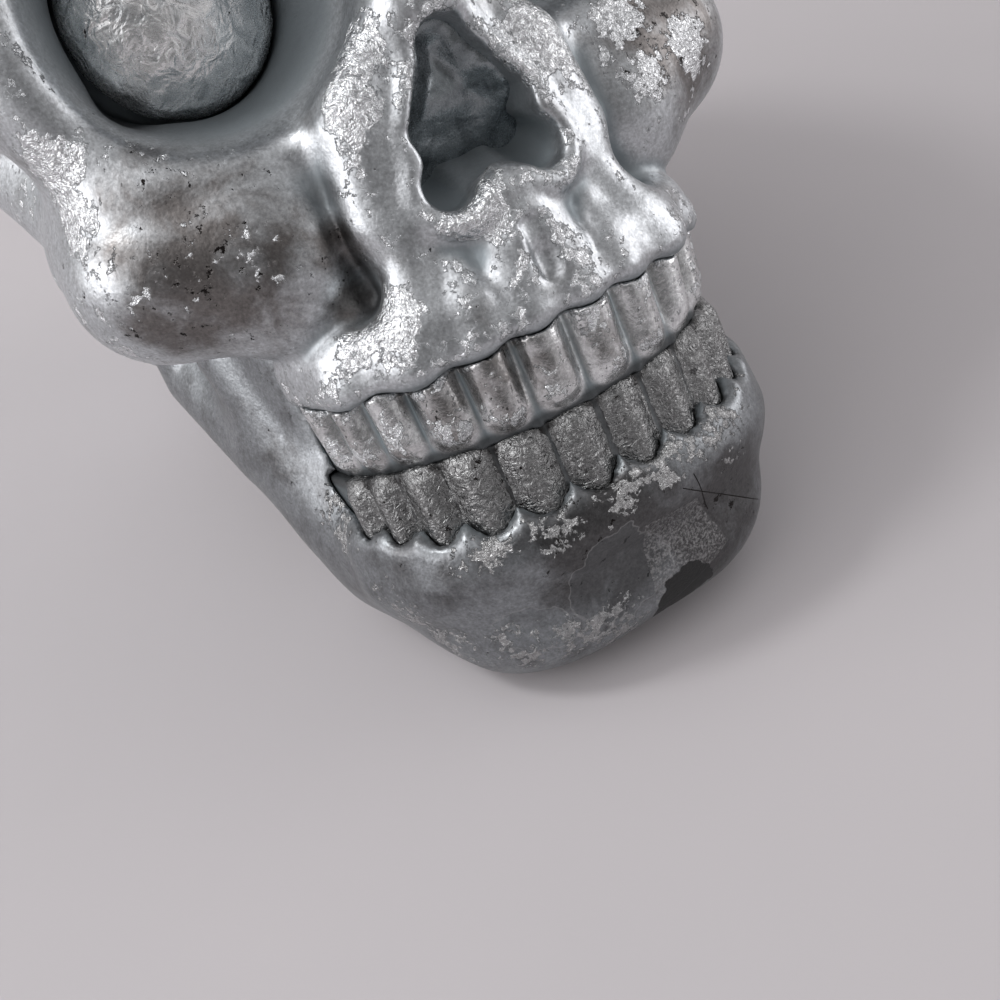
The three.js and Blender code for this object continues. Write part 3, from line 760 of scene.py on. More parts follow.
@dataclass(frozen=True)
class LeafFinish(Finish):
    """Imitation silver leaf rubbed onto plastic that was sprayed with metallic paint.

    The paint gives the satin sheen and its fine grain. The leaf clings in torn flakes that glitter
    because they are crinkled, with a dark line along their edges. The hollows keep plain grey paint,
    darkened further as painted shade, and creases and the bite get a near-black painted shade. A brown
    of random stain and of painted reflection of the dark room in front lies over the rest.
    """

    name: str = "silver_leaf_on_metallic_paint"
    leaf: str = "#e6e9eb"
    paint: str = "#ccd0d3"
    # The hollow grey is bare paint darkened as painted shade; the brown is stain and painted reflection of
    # the dark room in front; the speck darkens pits, torn edges and cracks, and paints shade in creases.
    hollow: str = "#8f979b"
    stain_and_reflection_brown: str = "#574d46"
    speck: str = "#221f1e"
    cover: float = 0.0
    bareness: float = 1.5
    brown: float = 0.0
    patch_mm: float = 9.0
    tear_mm: float = 1.7
    stain_mm: float = 7.0
    pit_mm: float = 2.0
    pit_depth: float = 0.08
    tone_mm: float = 0.9
    wave_mm: float = 2.6
    wave_height: float = 0.09
    grain_mm: float = 0.4
    grain_height: float = 0.03
    crinkle_mm: float = 1.0
    fold_depth: float = 0.55
    facet_height: float = 0.12
    leaf_height: float = 0.05
    satin: float = 0.3
    leaf_gloss: float = 0.18

    def layers(self, add: Adder) -> Layers:
        """Builds the finish up from the paint to the pits.

        Args:
            add: Function that adds a node to the material.

        Returns:
            The layers for the shader.
        """
        place = add("TexCoord", out="Object")
        leafed, raised, hollow, stain_and_reflection, crease_shade = (
            add("Attribute", out="Fac", attribute_name=name)
            for name in ("leafed", "raised", "hollow", "stain_and_reflection", "crease_shade"))
        patch = add("TexNoise", place, per(self.patch_mm), 4.0, 0.6)
        tear = add("TexNoise", place, per(self.tear_mm), 5.0, 0.62)
        grain = add("TexNoise", place, per(self.grain_mm), 2.0)
        # The leaf lies where patches and raised forms meet, and keeps out of hollows
        level = self.cover - self.bareness
        for where, pull in ((raised, 0.2), (patch, 1.1), (tear, 1.4), (leafed, 0.45), (hollow, -0.7)):
            level = add("Math MULTIPLY_ADD", where, pull, level)
        leaf = add("MapRange SMOOTHSTEP", level, -0.02, 0.06)
        # A dark line follows the torn edges
        edge = add("Math ABSOLUTE", add("Math ADD", level, 0.01))
        edge = add("MapRange", edge, 0.035, 0.0, 0.0, 0.55)
        # Crinkles: folds, small facets and a fine grain
        fold = add("TexNoise", place, per(self.crinkle_mm), 3.0, Distortion=1.5)
        ridge = add("Math ABSOLUTE", add("Math SUBTRACT", fold, 0.5))
        facet = add("TexVoronoi", place, per(self.crinkle_mm))
        wave = add("TexNoise", place, per(self.wave_mm), 3.0, Distortion=0.6)
        smooth = add("Math MULTIPLY", wave, self.wave_height)
        smooth = add("Math MULTIPLY_ADD", grain, self.grain_height, smooth)
        crinkle = add("Math MULTIPLY_ADD", ridge, -self.fold_depth, smooth)
        crinkle = add("Math MULTIPLY_ADD", facet, self.facet_height, crinkle)
        crinkle = add("Math ADD", crinkle, self.leaf_height)
        height = add("Mix", leaf, smooth, crinkle)
        # Brown between the flakes: random stain, plus painted reflection of the dark room in front on the
        # marked patches
        stain_and_reflection_mask = add("TexNoise", place, per(self.stain_mm), 5.0, 0.6, Distortion=0.4)
        stain_and_reflection_mask = add("Math MULTIPLY_ADD", stain_and_reflection, 0.4, stain_and_reflection_mask)
        stain_and_reflection_mask = add("MapRange SMOOTHSTEP", stain_and_reflection_mask, 0.5 - self.brown, 0.95 - self.brown, 0.0, 0.8)
        stain_and_reflection_mask = add("Math MULTIPLY", stain_and_reflection_mask, add("Math MULTIPLY_ADD", leaf, -0.85, 1.0))
        # Ragged pits, thickest where the brown lies
        pit = add("TexNoise", place, per(self.pit_mm), 5.0, 0.72)
        pit = add("Math MULTIPLY_ADD", stain_and_reflection, 0.07, pit)
        pit = add("MapRange SMOOTHSTEP", pit, 0.67, 0.71)
        dark_marks = add("Math MULTIPLY", add("Math MAXIMUM", pit, edge), add("Math SUBTRACT", 1.0, hollow))
        height = add("Math MULTIPLY_ADD", dark_marks, -self.pit_depth, height)
        # Colours from the paint upwards
        tone = add("TexNoise", place, per(self.tone_mm), 4.0, 0.75)
        tone = add("MapRange", tone, 0.3, 0.7, 0.66, 1.1)
        tone = add("Math MULTIPLY", tone, add("MapRange", grain, 0.3, 0.7, 0.82, 1.12))
        colour = add("Mix RGBA", stain_and_reflection_mask, self.paint, self.stain_and_reflection_brown)
        colour = add("Mix RGBA", leaf, colour, self.leaf)
        colour = add("VectorMath SCALE", colour, tone)
        # Dark pits and torn edges, then the hollows' grey paint darkened as painted shade, then near-black
        # painted shade in creases and at the bite
        for where, code in ((dark_marks, self.speck), (hollow, self.hollow), (crease_shade, self.speck)):
            colour = add("Mix RGBA", where, colour, code)
        metallic = add("MapRange", hollow, 0.0, 1.0, 0.95, 0.6)
        rough = add("MapRange", leaf, 0.0, 1.0, self.satin, self.leaf_gloss)
        for where in (hollow, tear):
            rough = add("Math MULTIPLY_ADD", where, 0.14, rough)
        return Layers(colour, metallic, rough, height)


@dataclass(frozen=True)
class JawFinish(LeafFinish):
    """The leaf on the jaw, worn thinner, with a torn film and a chip down to the plastic on the chin."""

    placement: Placement = None
    plastic: str = "#131414"
    chip: tuple[Point, ...] = (
        (0.6, -83.9, 14.3), (5.6, -84.0, 15.0), (8.7, -83.0, 12.6), (9.7, -80.6, 9.2), (4.6, -80.0, 8.0),
        (-2.2, -80.5, 8.6))
    chip_depth: float = 0.12
    square: tuple[Point, ...] = (
        (-0.7, -88.9, 25.0), (9.0, -87.8, 24.0), (13.2, -82.9, 14.1), (-1.8, -80.8, 8.9))
    grit_mm: float = 0.45
    grit_height: float = 0.16
    lobes: tuple[tuple[Point, float], ...] = (((-20.5, -81.8, 18.8), 5.6), ((-7.5, -86.5, 19.5), 7.6))
    film_height: float = 0.035
    drift_mm: float = 9.0
    ragged_mm: float = 1.4
    cracks: tuple[tuple[Point, Point], ...] = (
        ((6.9, -89.9, 27.4), (22.7, -78.8, 15.3)), ((9.0, -89.9, 28.2), (11.1, -85.4, 20.7)))
    crack_depth: float = 0.1

    def fence(self, add: Adder, place: Any, corners: Sequence[Point]) -> Any:
        """How far inside a torn outline a point lies, in millimetres.

        Args:
            add: Function that adds a node to the material.
            place: Object coordinates.
            corners: Corners of a convex outline, upright, clockwise seen from the front.

        Returns:
            A socket, positive inside.
        """
        spots = [self.placement.to_table(c) for c in corners]
        middle = sum(spots, Vector()) / len(spots)
        facing = (spots[1] - spots[0]).cross(spots[2] - spots[0]).normalized()
        reaches = []
        for a, b in zip(spots, spots[1:] + spots[:1]):
            inward = facing.cross(b - a).normalized()
            if inward.dot(middle - a) < 0:
                inward = -inward
            reach = add("VectorMath DOT_PRODUCT", place, tuple(inward))
            reaches.append(add("Math SUBTRACT", reach, inward.dot(a)))
        return add("Math MULTIPLY", reduce(partial(add, "Math MINIMUM"), reaches), 1.0 / MM)

    def crack(self, add: Adder, place: Any, start: Point, end: Point) -> Any:
        """A thin straight line between two points.

        Args:
            add: Function that adds a node to the material.
            place: Object coordinates.
            start: One end, upright.
            end: The other end.

        Returns:
            A socket, 1 on the line.
        """
        a, b = self.placement.to_table(start), self.placement.to_table(end)
        along = (b - a).normalized()
        ahead = self.placement.to_table((0, -1, 0)) - self.placement.to_table((0, 0, 0))
        across = along.cross(ahead).normalized()
        reaches = []
        for way, origin in ((across, a), (along, (a + b) / 2)):
            reach = add("VectorMath DOT_PRODUCT", place, tuple(way))
            reaches.append(add("Math ABSOLUTE", add("Math SUBTRACT", reach, way.dot(origin))))
        side, run = reaches
        side = add("Math MAXIMUM", side, add("Math SUBTRACT", run, (b - a).length / 2))
        return add("MapRange SMOOTHSTEP", side, 0.13 * MM, 0.05 * MM)

    def layers(self, add: Adder) -> Layers:
        """Adds the film, the cracks and the chip to the leaf.

        Args:
            add: Function that adds a node to the material.

        Returns:
            The layers for the shader.
        """
        colour, metallic, rough, height = super().layers(add)
        place = add("TexCoord", out="Object")
        ragged = add("TexNoise", place, per(self.ragged_mm), 4.0)
        ragged = add("Math MULTIPLY_ADD", ragged, 1.6, -0.8)
        # A torn film lies over the left of the chin, with a painted highlight along its lifted edge
        drift = add("TexNoise", place, per(self.drift_mm), 3.0)
        drift = add("Math MULTIPLY_ADD", drift, 14.0, -7.0)
        drift = add("Math ADD", drift, ragged)
        outside = []
        for centre, radius in self.lobes:
            far = add("VectorMath DISTANCE", place, tuple(self.placement.to_table(centre)))
            outside.append(add("Math MULTIPLY_ADD", far, 1.0 / MM, -radius))
        border = add("Math ADD", reduce(partial(add, "Math MINIMUM"), outside), drift)
        film = add("MapRange SMOOTHSTEP", border, 0.1, -0.1)
        lip = add("MapRange SMOOTHSTEP", add("Math ABSOLUTE", border), 0.25, 0.05, 0.0, 0.3)
        colour = add("Mix RGBA", add("Math MULTIPLY", film, 0.12), colour, self.hollow)
        colour = add("Mix RGBA", lip, colour, self.leaf)
        height = add("Math MULTIPLY_ADD", film, self.film_height, height)
        # A square of grainy leaf lies on the chin
        grit = add("TexNoise", place, per(self.grit_mm), 3.0, 0.7)
        square = add("Math MULTIPLY_ADD", ragged, 0.4, self.fence(add, place, self.square))
        on_square = add("MapRange SMOOTHSTEP", square, -0.1, 0.1)
        glint = add("Math MULTIPLY", add("MapRange", grit, 0.45, 0.65, 0.0, 0.6), on_square)
        colour = add("Mix RGBA", glint, colour, self.leaf)
        gritty = add("Math MULTIPLY", grit, on_square)
        height = add("Math MULTIPLY_ADD", gritty, self.grit_height, height)
        # Straight cracks run across it
        for start, end in self.cracks:
            line = self.crack(add, place, start, end)
            colour = add("Mix RGBA", line, colour, self.speck)
            height = add("Math MULTIPLY_ADD", line, -self.crack_depth, height)
        # The chip shows dull dark plastic
        chip = add("Math MULTIPLY_ADD", ragged, 1.3, self.fence(add, place, self.chip))
        chipped = add("MapRange SMOOTHSTEP", chip, -0.1, 0.1)
        colour = add("Mix RGBA", chipped, colour, self.plastic)
        metallic = add("Math MULTIPLY", metallic, add("Math SUBTRACT", 1.0, chipped))
        rough = add("Math MULTIPLY_ADD", chipped, 0.2, rough)
        height = add("Math MULTIPLY_ADD", chipped, -self.chip_depth, height)
        return Layers(colour, metallic, rough, height)


@dataclass(frozen=True)
class RoughFinish(Finish):
    """Leaf laid wet over a rough moulded ball: wrinkled, dark in the folds and full of pits."""

    name: str = "wrinkled_silver_over_rough_plastic"
    leaf: str = "#fbfcfc"
    fold: str = "#cdd1d3"
    pit: str = "#141312"
    depth: float = 0.6
    wrinkle_mm: float = 2.6
    pit_mm: float = 3.0
    pit_depth: float = 0.2
    grain_mm: float = 0.4
    grain_height: float = 0.04

    def layers(self, add: Adder) -> Layers:
        """Wrinkles, grain and pits."""
        place = add("TexCoord", out="Object")
        wrinkle = add("TexNoise", place, per(self.wrinkle_mm), 3.0, 0.5, Distortion=0.8)
        ridge = add("Math ABSOLUTE", add("Math SUBTRACT", wrinkle, 0.5))
        grain = add("TexNoise", place, per(self.grain_mm), 3.0)
        pits = add("TexNoise", place, per(self.pit_mm), 4.0, 0.7)
        pits = add("MapRange SMOOTHSTEP", pits, 0.68, 0.74)
        bright = add("MapRange", wrinkle, 0.36, 0.6)
        bright = add("Math MULTIPLY_ADD", grain, 0.3, bright)
        colour = add("Mix RGBA", bright, self.fold, self.leaf, clamp_factor=True)
        colour = add("Mix RGBA", pits, colour, self.pit)
        height = add("Math MULTIPLY", ridge, -self.depth)
        height = add("Math MULTIPLY_ADD", grain, self.grain_height, height)
        height = add("Math MULTIPLY_ADD", pits, -self.pit_depth, height)
        metallic = add("MapRange", pits, 0.0, 1.0, 0.9, 0.1)
        rough = add("MapRange", grain, 0.3, 0.7, 0.2, 0.34)
        return Layers(colour, metallic, rough, height)


@dataclass(frozen=True)
class PlasticFinish(Finish):
    """Black polypropylene, moulded in a spark-eroded tool, which leaves a fine dull grain."""

    name: str = "moulded_black_polypropylene"
    base: str = "#232325"
    rubbed: str = "#333336"
    grain_mm: float = 0.5
    wear_mm: float = 7.0

    def layers(self, add: Adder) -> Layers:
        """Grain, and wear that pales and dulls it."""
        place = add("TexCoord", out="Object")
        grain = add("TexNoise", place, per(self.grain_mm), 2.0)
        wear = add("TexNoise", place, per(self.wear_mm), 4.0)
        colour = add("Mix RGBA", wear, self.base, self.rubbed)
        rough = add("MapRange", wear, 0.0, 1.0, 0.45, 0.65)
        return Layers(colour, 0.0, rough, add("Math MULTIPLY", grain, 0.05))


@dataclass(frozen=True)
class FeltFinish(Finish):
    """Needled felt, matt and a little fuzzy, with its fibres lying every way."""

    name: str = "needled_black_felt"
    specular: float = 0.2
    dark: str = "#141415"
    fibre: str = "#39393b"
    fibre_mm: float = 0.35

    def layers(self, add: Adder) -> Layers:
        """Tangled fibres."""
        strand = add("TexNoise", add("TexCoord", out="Object"), per(self.fibre_mm), 4.0, Distortion=3.0)
        colour = add("Mix RGBA", strand, self.dark, self.fibre)
        return Layers(colour, 0.0, 0.95, add("Math MULTIPLY", strand, 0.15))


@dataclass(frozen=True)
class TableFinish(Finish):
    """Pale lacquered board, nearly plain."""

    name: str = "pale_lacquered_board"
    specular: float = 0.2
    base: str = "#bcb9bb"
    mottle: str = "#c1bdbf"
    cloud_mm: float = 60.0
    grain_mm: float = 0.8

    def layers(self, add: Adder) -> Layers:
        """Faint clouds and a fine grain."""
        place = add("TexCoord", out="Object")
        cloud = add("TexNoise", place, per(self.cloud_mm), 3.0)
        grain = add("TexNoise", place, per(self.grain_mm), 2.0)
        colour = add("Mix RGBA", cloud, self.base, self.mottle)
        return Layers(colour, 0.0, 0.7, add("Math MULTIPLY", grain, 0.01))


# Sub-assemblies


@dataclass(frozen=True)
class Patch:
    """A round place on the sculpt: its centre and how far it reaches."""

    centre: Point
    reach: float
    level: float = 1.0

    def on(self, p: Spots) -> Array:
        """The level at the middle of the place, 0 past its reach."""
        u, v, w = (axis - c for axis, c in zip(p, self.centre))
        return self.level * ramp(np.sqrt(u * u + v * v + w * w), self.reach, 0.3 * self.reach)


def most(patches: Sequence[Patch], p: Spots) -> Array:
    """The strongest of several places at each point."""
    value = np.zeros_like(p.x)
    for patch in patches:
        value = np.maximum(value, patch.on(p))
    return value


@dataclass
class Head:
    """Face and back of the head, leafed over grey paint."""

    form: SkullForm
    carver: Carver
    face_step: float = 0.88
    back_step: float = 1.5
    leafed: tuple[Patch, ...] = (
        Patch((-9.2, -83.7, 99.1), 6), Patch((-14.3, -85.2, 92.0), 6), Patch((-25.4, -81.0, 64.8), 6),
        Patch((-20.6, -85.0, 66.8), 6), Patch((-48.8, -67.1, 93.5), 7), Patch((-47.6, -68.6, 100.9), 6),
        Patch((30.0, -77.4, 89.4), 6), Patch((40.0, -76.5, 82.3), 6), Patch((30.1, -76.9, 80.9), 6),
        Patch((-5.7, -88.8, 74.3), 6), Patch((13.0, -85.0, 92.0), 9), Patch((12.0, -80.0, 104.0), 7))
    # Painted reflection and shade: brown patches where the cheeks, the crease beside the cheekbone and the
    # brow face the dark room in front
    stain_and_reflection: tuple[Patch, ...] = (
        Patch((-37.0, -76.0, 83.0), 20, 0.9), Patch((-45.0, -72.9, 77.0), 11, 0.9),
        Patch((38.0, -76.0, 86.0), 18), Patch((-21.5, -78.0, 77.0), 7), Patch((-23.0, -76.0, 71.0), 6),
        Patch((-36.6, -74.0, 95.7), 8, 0.5), Patch((4.0, -82.0, 112.0), 8))
    # Painted shade down the crease between the left cheekbone and the upper jaw
    crease_shade_patches: tuple[Patch, ...] = (
        Patch((-19.9, -79.4, 84.5), 3.5, 0.5), Patch((-20.2, -78.6, 79.5), 4.5, 0.6),
        Patch((-19.8, -76.8, 74.5), 5, 0.65), Patch((-19.6, -75.9, 70.0), 4.5, 0.65))

    def weather(self, carving: Carving) -> None:
        """Marks where leaf, bare paint darkened as painted shade, brown stain with painted reflection, and
        painted crease shade lie.

        Args:
            carving: Half of the head.
        """
        p = carving.spots()
        q = p.folded()
        fine, broad = carving.bulges()
        # Socket walls, nose walls, the underside of the gum lip and broad hollows take the hollow grey, bare
        # paint darkened as painted shade
        inside = np.maximum(ramp(self.form.socket(q), 2.5, -0.5) * ramp(p.y, -76, -70),
                            ramp(self.form.nose_walls(q), 0.7, -0.3) * ramp(p.y, -86, -83))
        lip = ramp(p.z, self.form.gum_z + 1.5, self.form.gum_z - 0.5) * ramp(p.y, -50, -60)
        carving.mark("raised", np.maximum(ramp(fine, 0.04, 0.4), ramp(broad, 0.12, 0.6)))
        brown = most(self.stain_and_reflection, p)
        carving.mark("hollow", np.maximum(np.maximum(ramp(broad, -0.1, -0.5) * (1 - brown), inside), lip))
        carving.mark("leafed", most(self.leafed, p))
        carving.mark("stain_and_reflection", brown)
        # Painted shade in fine creases and down the crease beside the cheekbone
        carving.mark("crease_shade", np.maximum(0.75 * ramp(fine, -0.5, -1.2), most(self.crease_shade_patches, p)))

    def build(self) -> list[bpy.types.Object]:
        """Carves both halves.

        Returns:
            The face and the back of the head.
        """
        pieces = []
        for name, node, shape, low, high, step in (
                ("leafed_face", "face_shell", self.form.face_half,
                 (-62, -96, 50), (62, 2, 188), self.face_step),
                ("leafed_back", "cranium_shell", self.form.back_half,
                 (-62, -6, 40), (62, 78, 190), self.back_step)):
            carving = self.carver.carve(name, shape, low, high, step)
            self.weather(carving)
            pieces.append(settle(carving.piece(), node))
        return pieces

    def dress(self, pieces: Sequence[bpy.types.Object]) -> None:
        """Gives both halves the leaf."""
        finish = LeafFinish().material()
        for piece in pieces:
            piece.data.materials.append(finish)


@dataclass
class Jaw:
    """Lower jaw, worn to grey paint, with its gum scallops and damaged chin."""

    form: SkullForm
    carver: Carver
    step: float = 0.8
    leafed: tuple[Patch, ...] = (
        Patch((-13.4, -89.1, 31.4), 7, 0.6), Patch((-22.0, -83.0, 31.0), 7, 0.6),
        Patch((-3.0, -90.0, 31.0), 7, 0.6), Patch((6.0, -89.0, 32.0), 8, 0.7),
        Patch((-22.6, -78.6, 14.8), 8), Patch((16.0, -86.0, 30.0), 9, 0.7),
        Patch((-36.0, -60.0, 40.0), 8, 0.7), Patch((-33.7, -69.5, 25.5), 8),
        Patch((-29.7, -70.3, 17.9), 8), Patch((-15.6, -82.0, 13.4), 8), Patch((-8.3, -82.8, 12.0), 8))
    # Painted reflection: brown patches where the chin and the jaw's sides face the dark room in front
    stain_and_reflection: tuple[Patch, ...] = (
        Patch((-6.0, -88.0, 25.0), 17), Patch((-28.0, -76.0, 32.0), 9, 0.4),
        Patch((-40.6, -50.7, 50.8), 10, 0.5), Patch((14.0, -84.0, 20.0), 16))

    def build(self) -> bpy.types.Object:
        """Carves and weathers the jaw.

        Returns:
            The jaw.
        """
        carving = self.carver.carve("leafed_jaw", self.form.jaw, (-52, -97, -6), (52, 10, 92), self.step)
        p = carving.spots()
        fine, broad = carving.bulges()
        bed = self.form.tooth_bed(p.folded(), self.form.lower_row.arch.outside(p.folded()))
        carving.mark("raised", np.maximum(ramp(fine, 0.06, 0.5), ramp(broad, 0.2, 0.7)))
        # The tooth bed and broad hollows take the hollow grey, bare paint darkened as painted shade; fine
        # creases get painted shade
        carving.mark("hollow", np.maximum(ramp(broad, -0.1, -0.5), ramp(bed, 0.5, 0.0)))
        carving.mark("leafed", most(self.leafed, p))
        carving.mark("stain_and_reflection", most(self.stain_and_reflection, p))
        carving.mark("crease_shade", 0.75 * ramp(fine, -0.5, -1.2))
        return settle(carving.piece(), "lower_jaw")

    def dress(self, piece: bpy.types.Object) -> None:
        """Gives the jaw its thin leaf and damage."""
        # The hollow grey is painted shade in the tooth bed and creases; the brown is stain and painted
        # reflection
        finish = JawFinish(
            name="thin_silver_leaf_on_grey_paint", leaf="#b2b3b3", paint="#969a9d", hollow="#7d8589",
            stain_and_reflection_brown="#454241", cover=-0.2, brown=0.09, patch_mm=3.5, tear_mm=1.2, crinkle_mm=0.8,
            placement=self.carver.placement)
        piece.data.materials.append(finish.material())


@dataclass
class Teeth:
    """Both clenched tooth rows."""

    form: SkullForm
    carver: Carver
    step: float = 0.45
    lumps: float = 0.12
    bite_z: float = 45.4

    def build(self) -> list[bpy.types.Object]:
        """Carves the rows, with the slightly uneven fronts of a hand-cut mould.

        Returns:
            The upper and the lower row.
        """
        pieces = []
        for name, node, shape, row, low, high, edge in (
                ("upper_tooth_row", "upper_teeth", self.form.upper_teeth, self.form.upper_row,
                 (-37, -93, 43), (37, -50, 66), 0.15),
                ("lower_tooth_row", "lower_teeth", self.form.lower_teeth, self.form.lower_row,
                 (-36, -92, 29), (36, -50, 50), 0.6)):
            carving = self.carver.carve(name, shape, low, high, self.step)
            p = carving.spots()
            crown = row.crowns(row.lifted(p))
            carving.push(self.lumps * (Lumps(2.2, 5).at(p) - 0.6) * ramp(crown, 1.0, 0.0))
            _, fine = carving.bend(1.2)
            carving.mark("raised", ramp(fine, 0.0, 0.35) * ramp(crown, edge + 0.65, edge - 0.05))
            # The gaps, grooves and bite line are painted darker as shade between the teeth and between the
            # rows; the brown is random stain, with painted reflection stronger to the left
            bite = ramp(np.abs(row.lifted(p).z - self.bite_z), 2.0, 0.9) * ramp(crown, 0.2, 0.7)
            groove = ramp(fine, -edge, -edge - 0.4)
            carving.mark("hollow", np.maximum(ramp(crown, edge, edge + 0.75), groove))
            carving.mark("leafed", ramp(crown, edge + 0.35, edge - 0.15) * 0.5)
            carving.mark("stain_and_reflection", 0.5 * Lumps(9.0, 8).at(p) + 0.2 * ramp(p.x, 0.0, -12.0))
            carving.mark("crease_shade", 0.7 * bite)
            pieces.append(settle(carving.piece(), node))
        return pieces

    def dress(self, pieces: Sequence[bpy.types.Object]) -> None:
        """Gives the upper row its bright leaf and the lower row its torn, dull one."""
        # The hollow greys are painted shade in the gaps; the brown is stain and painted reflection
        bright = LeafFinish(
            name="burnished_leaf_on_upper_teeth", paint="#f0f2f3", hollow="#7f888c",
            patch_mm=5.0, tear_mm=1.3, crinkle_mm=0.8, cover=-0.2, brown=-0.02, satin=0.16)
        torn = LeafFinish(
            name="torn_leaf_on_lower_teeth", leaf="#8f9090", paint="#777879", hollow="#646b6e",
            stain_and_reflection_brown="#454241", patch_mm=4.0, tear_mm=1.8, crinkle_mm=1.2, cover=0.3, brown=0.08, satin=0.24)
        for piece, finish in zip(pieces, (bright, torn)):
            piece.data.materials.append(finish.material())


@dataclass
class Inserts:
    """Rough eyeballs and the wedge in the nose."""

    form: SkullForm
    carver: Carver
    step: float = 0.5
    wrinkle: float = 0.6

    def roughen(self, carving: Carving, front: Array) -> None:
        """Wrinkles a surface towards the inside.

        Args:
            carving: Surface to work.
            front: 1 where it is to be wrinkled, 0 where it seats.
        """
        p = carving.spots()
        big, small = Lumps(4.2, 21).at(p), Lumps(1.7, 22).at(p)
        folds = 1.4 * np.abs(big - 0.5) + 0.4 * np.abs(small - 0.5)
        carving.push(-self.wrinkle * folds * front)

    def build(self) -> list[bpy.types.Object]:
        """Carves the inserts.

        Returns:
            The right eye, the left eye and the nose wedge.
        """
        pieces = []
        for name, node, shape, low, high, seat_y, front_y in (
                ("right_eye", "eye_right", self.form.eye, (6, -68, 97), (41, -48, 132), -52, -56),
                ("left_eye", "eye_left", self.form.eye, (6, -68, 97), (41, -48, 132), -52, -56),
                ("nose_wedge", "nose_insert", self.form.nose, (-14, -84, 70), (14, -66, 104), -70, -73)):
            carving = self.carver.carve(name, shape, low, high, self.step)
            self.roughen(carving, ramp(carving.points[:, 1], seat_y, front_y))
            pieces.append(settle(carving.piece(mirrored=name == "left_eye"), node))
        return pieces

    def dress(self, pieces: Sequence[bpy.types.Object]) -> None:
        """Gives the eyes their wrinkled silver and the nose a greyer one."""
        silver = RoughFinish().material()
        grey = RoughFinish(name="wrinkled_grey_in_the_nose", leaf="#8b9194", fold="#666c6f", depth=0.08)
        for piece, finish in zip(pieces, (silver, silver, grey.material())):
            piece.data.materials.append(finish)


@dataclass
class Underside:
    """Base plate and pads, turned from discs as the solids are."""

    bevel: float = 0.4
    rim: float = 0.12
    slope: float = 0.02
    dish: float = 0.15
    crease: float = 40.0
    plate_sides: int = 64
    pad_sides: int = 32

    def disc(self, name: str, node: str, sides: int) -> bpy.types.Object:
        """Models a disc with softened rims and a dished underside on the place of a solid.

        Args:
            name: Piece name.
            node: Solid that it stands for.
            sides: Number of sides.

        Returns:
            The disc.
        """
        low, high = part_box(node)
        middle, size = (low + high) / 2, high - low
        bpy.ops.object.select_all(action="DESELECT")
        bpy.ops.mesh.primitive_cylinder_add(vertices=sides, radius=size.x / 2, depth=size.z, location=middle)
        piece = bpy.context.object
        piece.name = name
        bpy.ops.object.transform_apply(location=True, rotation=True, scale=True)
        bpy.ops.object.mode_set(mode="EDIT")
        bpy.ops.mesh.select_all(action="SELECT")
        bpy.ops.mesh.bevel(offset=min(self.bevel * MM, size.z * 0.3), segments=3, affect="EDGES")
        bpy.ops.object.mode_set(mode="OBJECT")
        for face in piece.data.polygons:
            face.select = len(face.vertices) > 8 and face.normal.z < -0.9
        bpy.ops.object.mode_set(mode="EDIT")
        bpy.ops.mesh.select_mode(type="FACE")
        bpy.ops.mesh.inset(thickness=size.x * self.rim)
        bpy.ops.mesh.inset(thickness=size.x * self.slope)
        bpy.ops.transform.translate(value=(0, 0, size.z * self.dish))
        bpy.ops.object.mode_set(mode="OBJECT")
        bpy.ops.object.shade_smooth_by_angle(angle=math.radians(self.crease))
        return piece

    def build(self) -> tuple[bpy.types.Object, list[bpy.types.Object]]:
        """Models the plate and the pads.

        Returns:
            The plate, and the pads.
        """
        plate = settle(self.disc("neck_plate", "base_plate", self.plate_sides), "base_plate")
        pads = []
        for place in ("front_left", "front_right", "rear_left", "rear_right"):
            pad = self.disc("felt_" + place, "pad_" + place, self.pad_sides)
            pads.append(settle(pad, "pad_" + place))
        return plate, pads

    def dress(self, plate: bpy.types.Object, pads: Sequence[bpy.types.Object]) -> None:
        """Gives the plate and the pads their finishes."""
        plate.data.materials.append(PlasticFinish().material())
        felt = FeltFinish().material()
        for pad in pads:
            pad.data.materials.append(felt)


# Studio


def heading(azimuth: float, elevation: float) -> Vector:
    """Unit vector from angles in degrees; azimuth 0 is the skull's front and grows to the right."""
    az, el = math.radians(azimuth), math.radians(elevation)
    return Vector((math.sin(az) * math.cos(el), -math.cos(az) * math.cos(el), math.sin(el)))


@dataclass(frozen=True)
class Glow:
    """A soft part of the room that is brighter or darker than its walls, in degrees from the table."""

    azimuth: float
    elevation: float
    core: float
    reach: float
    level: float


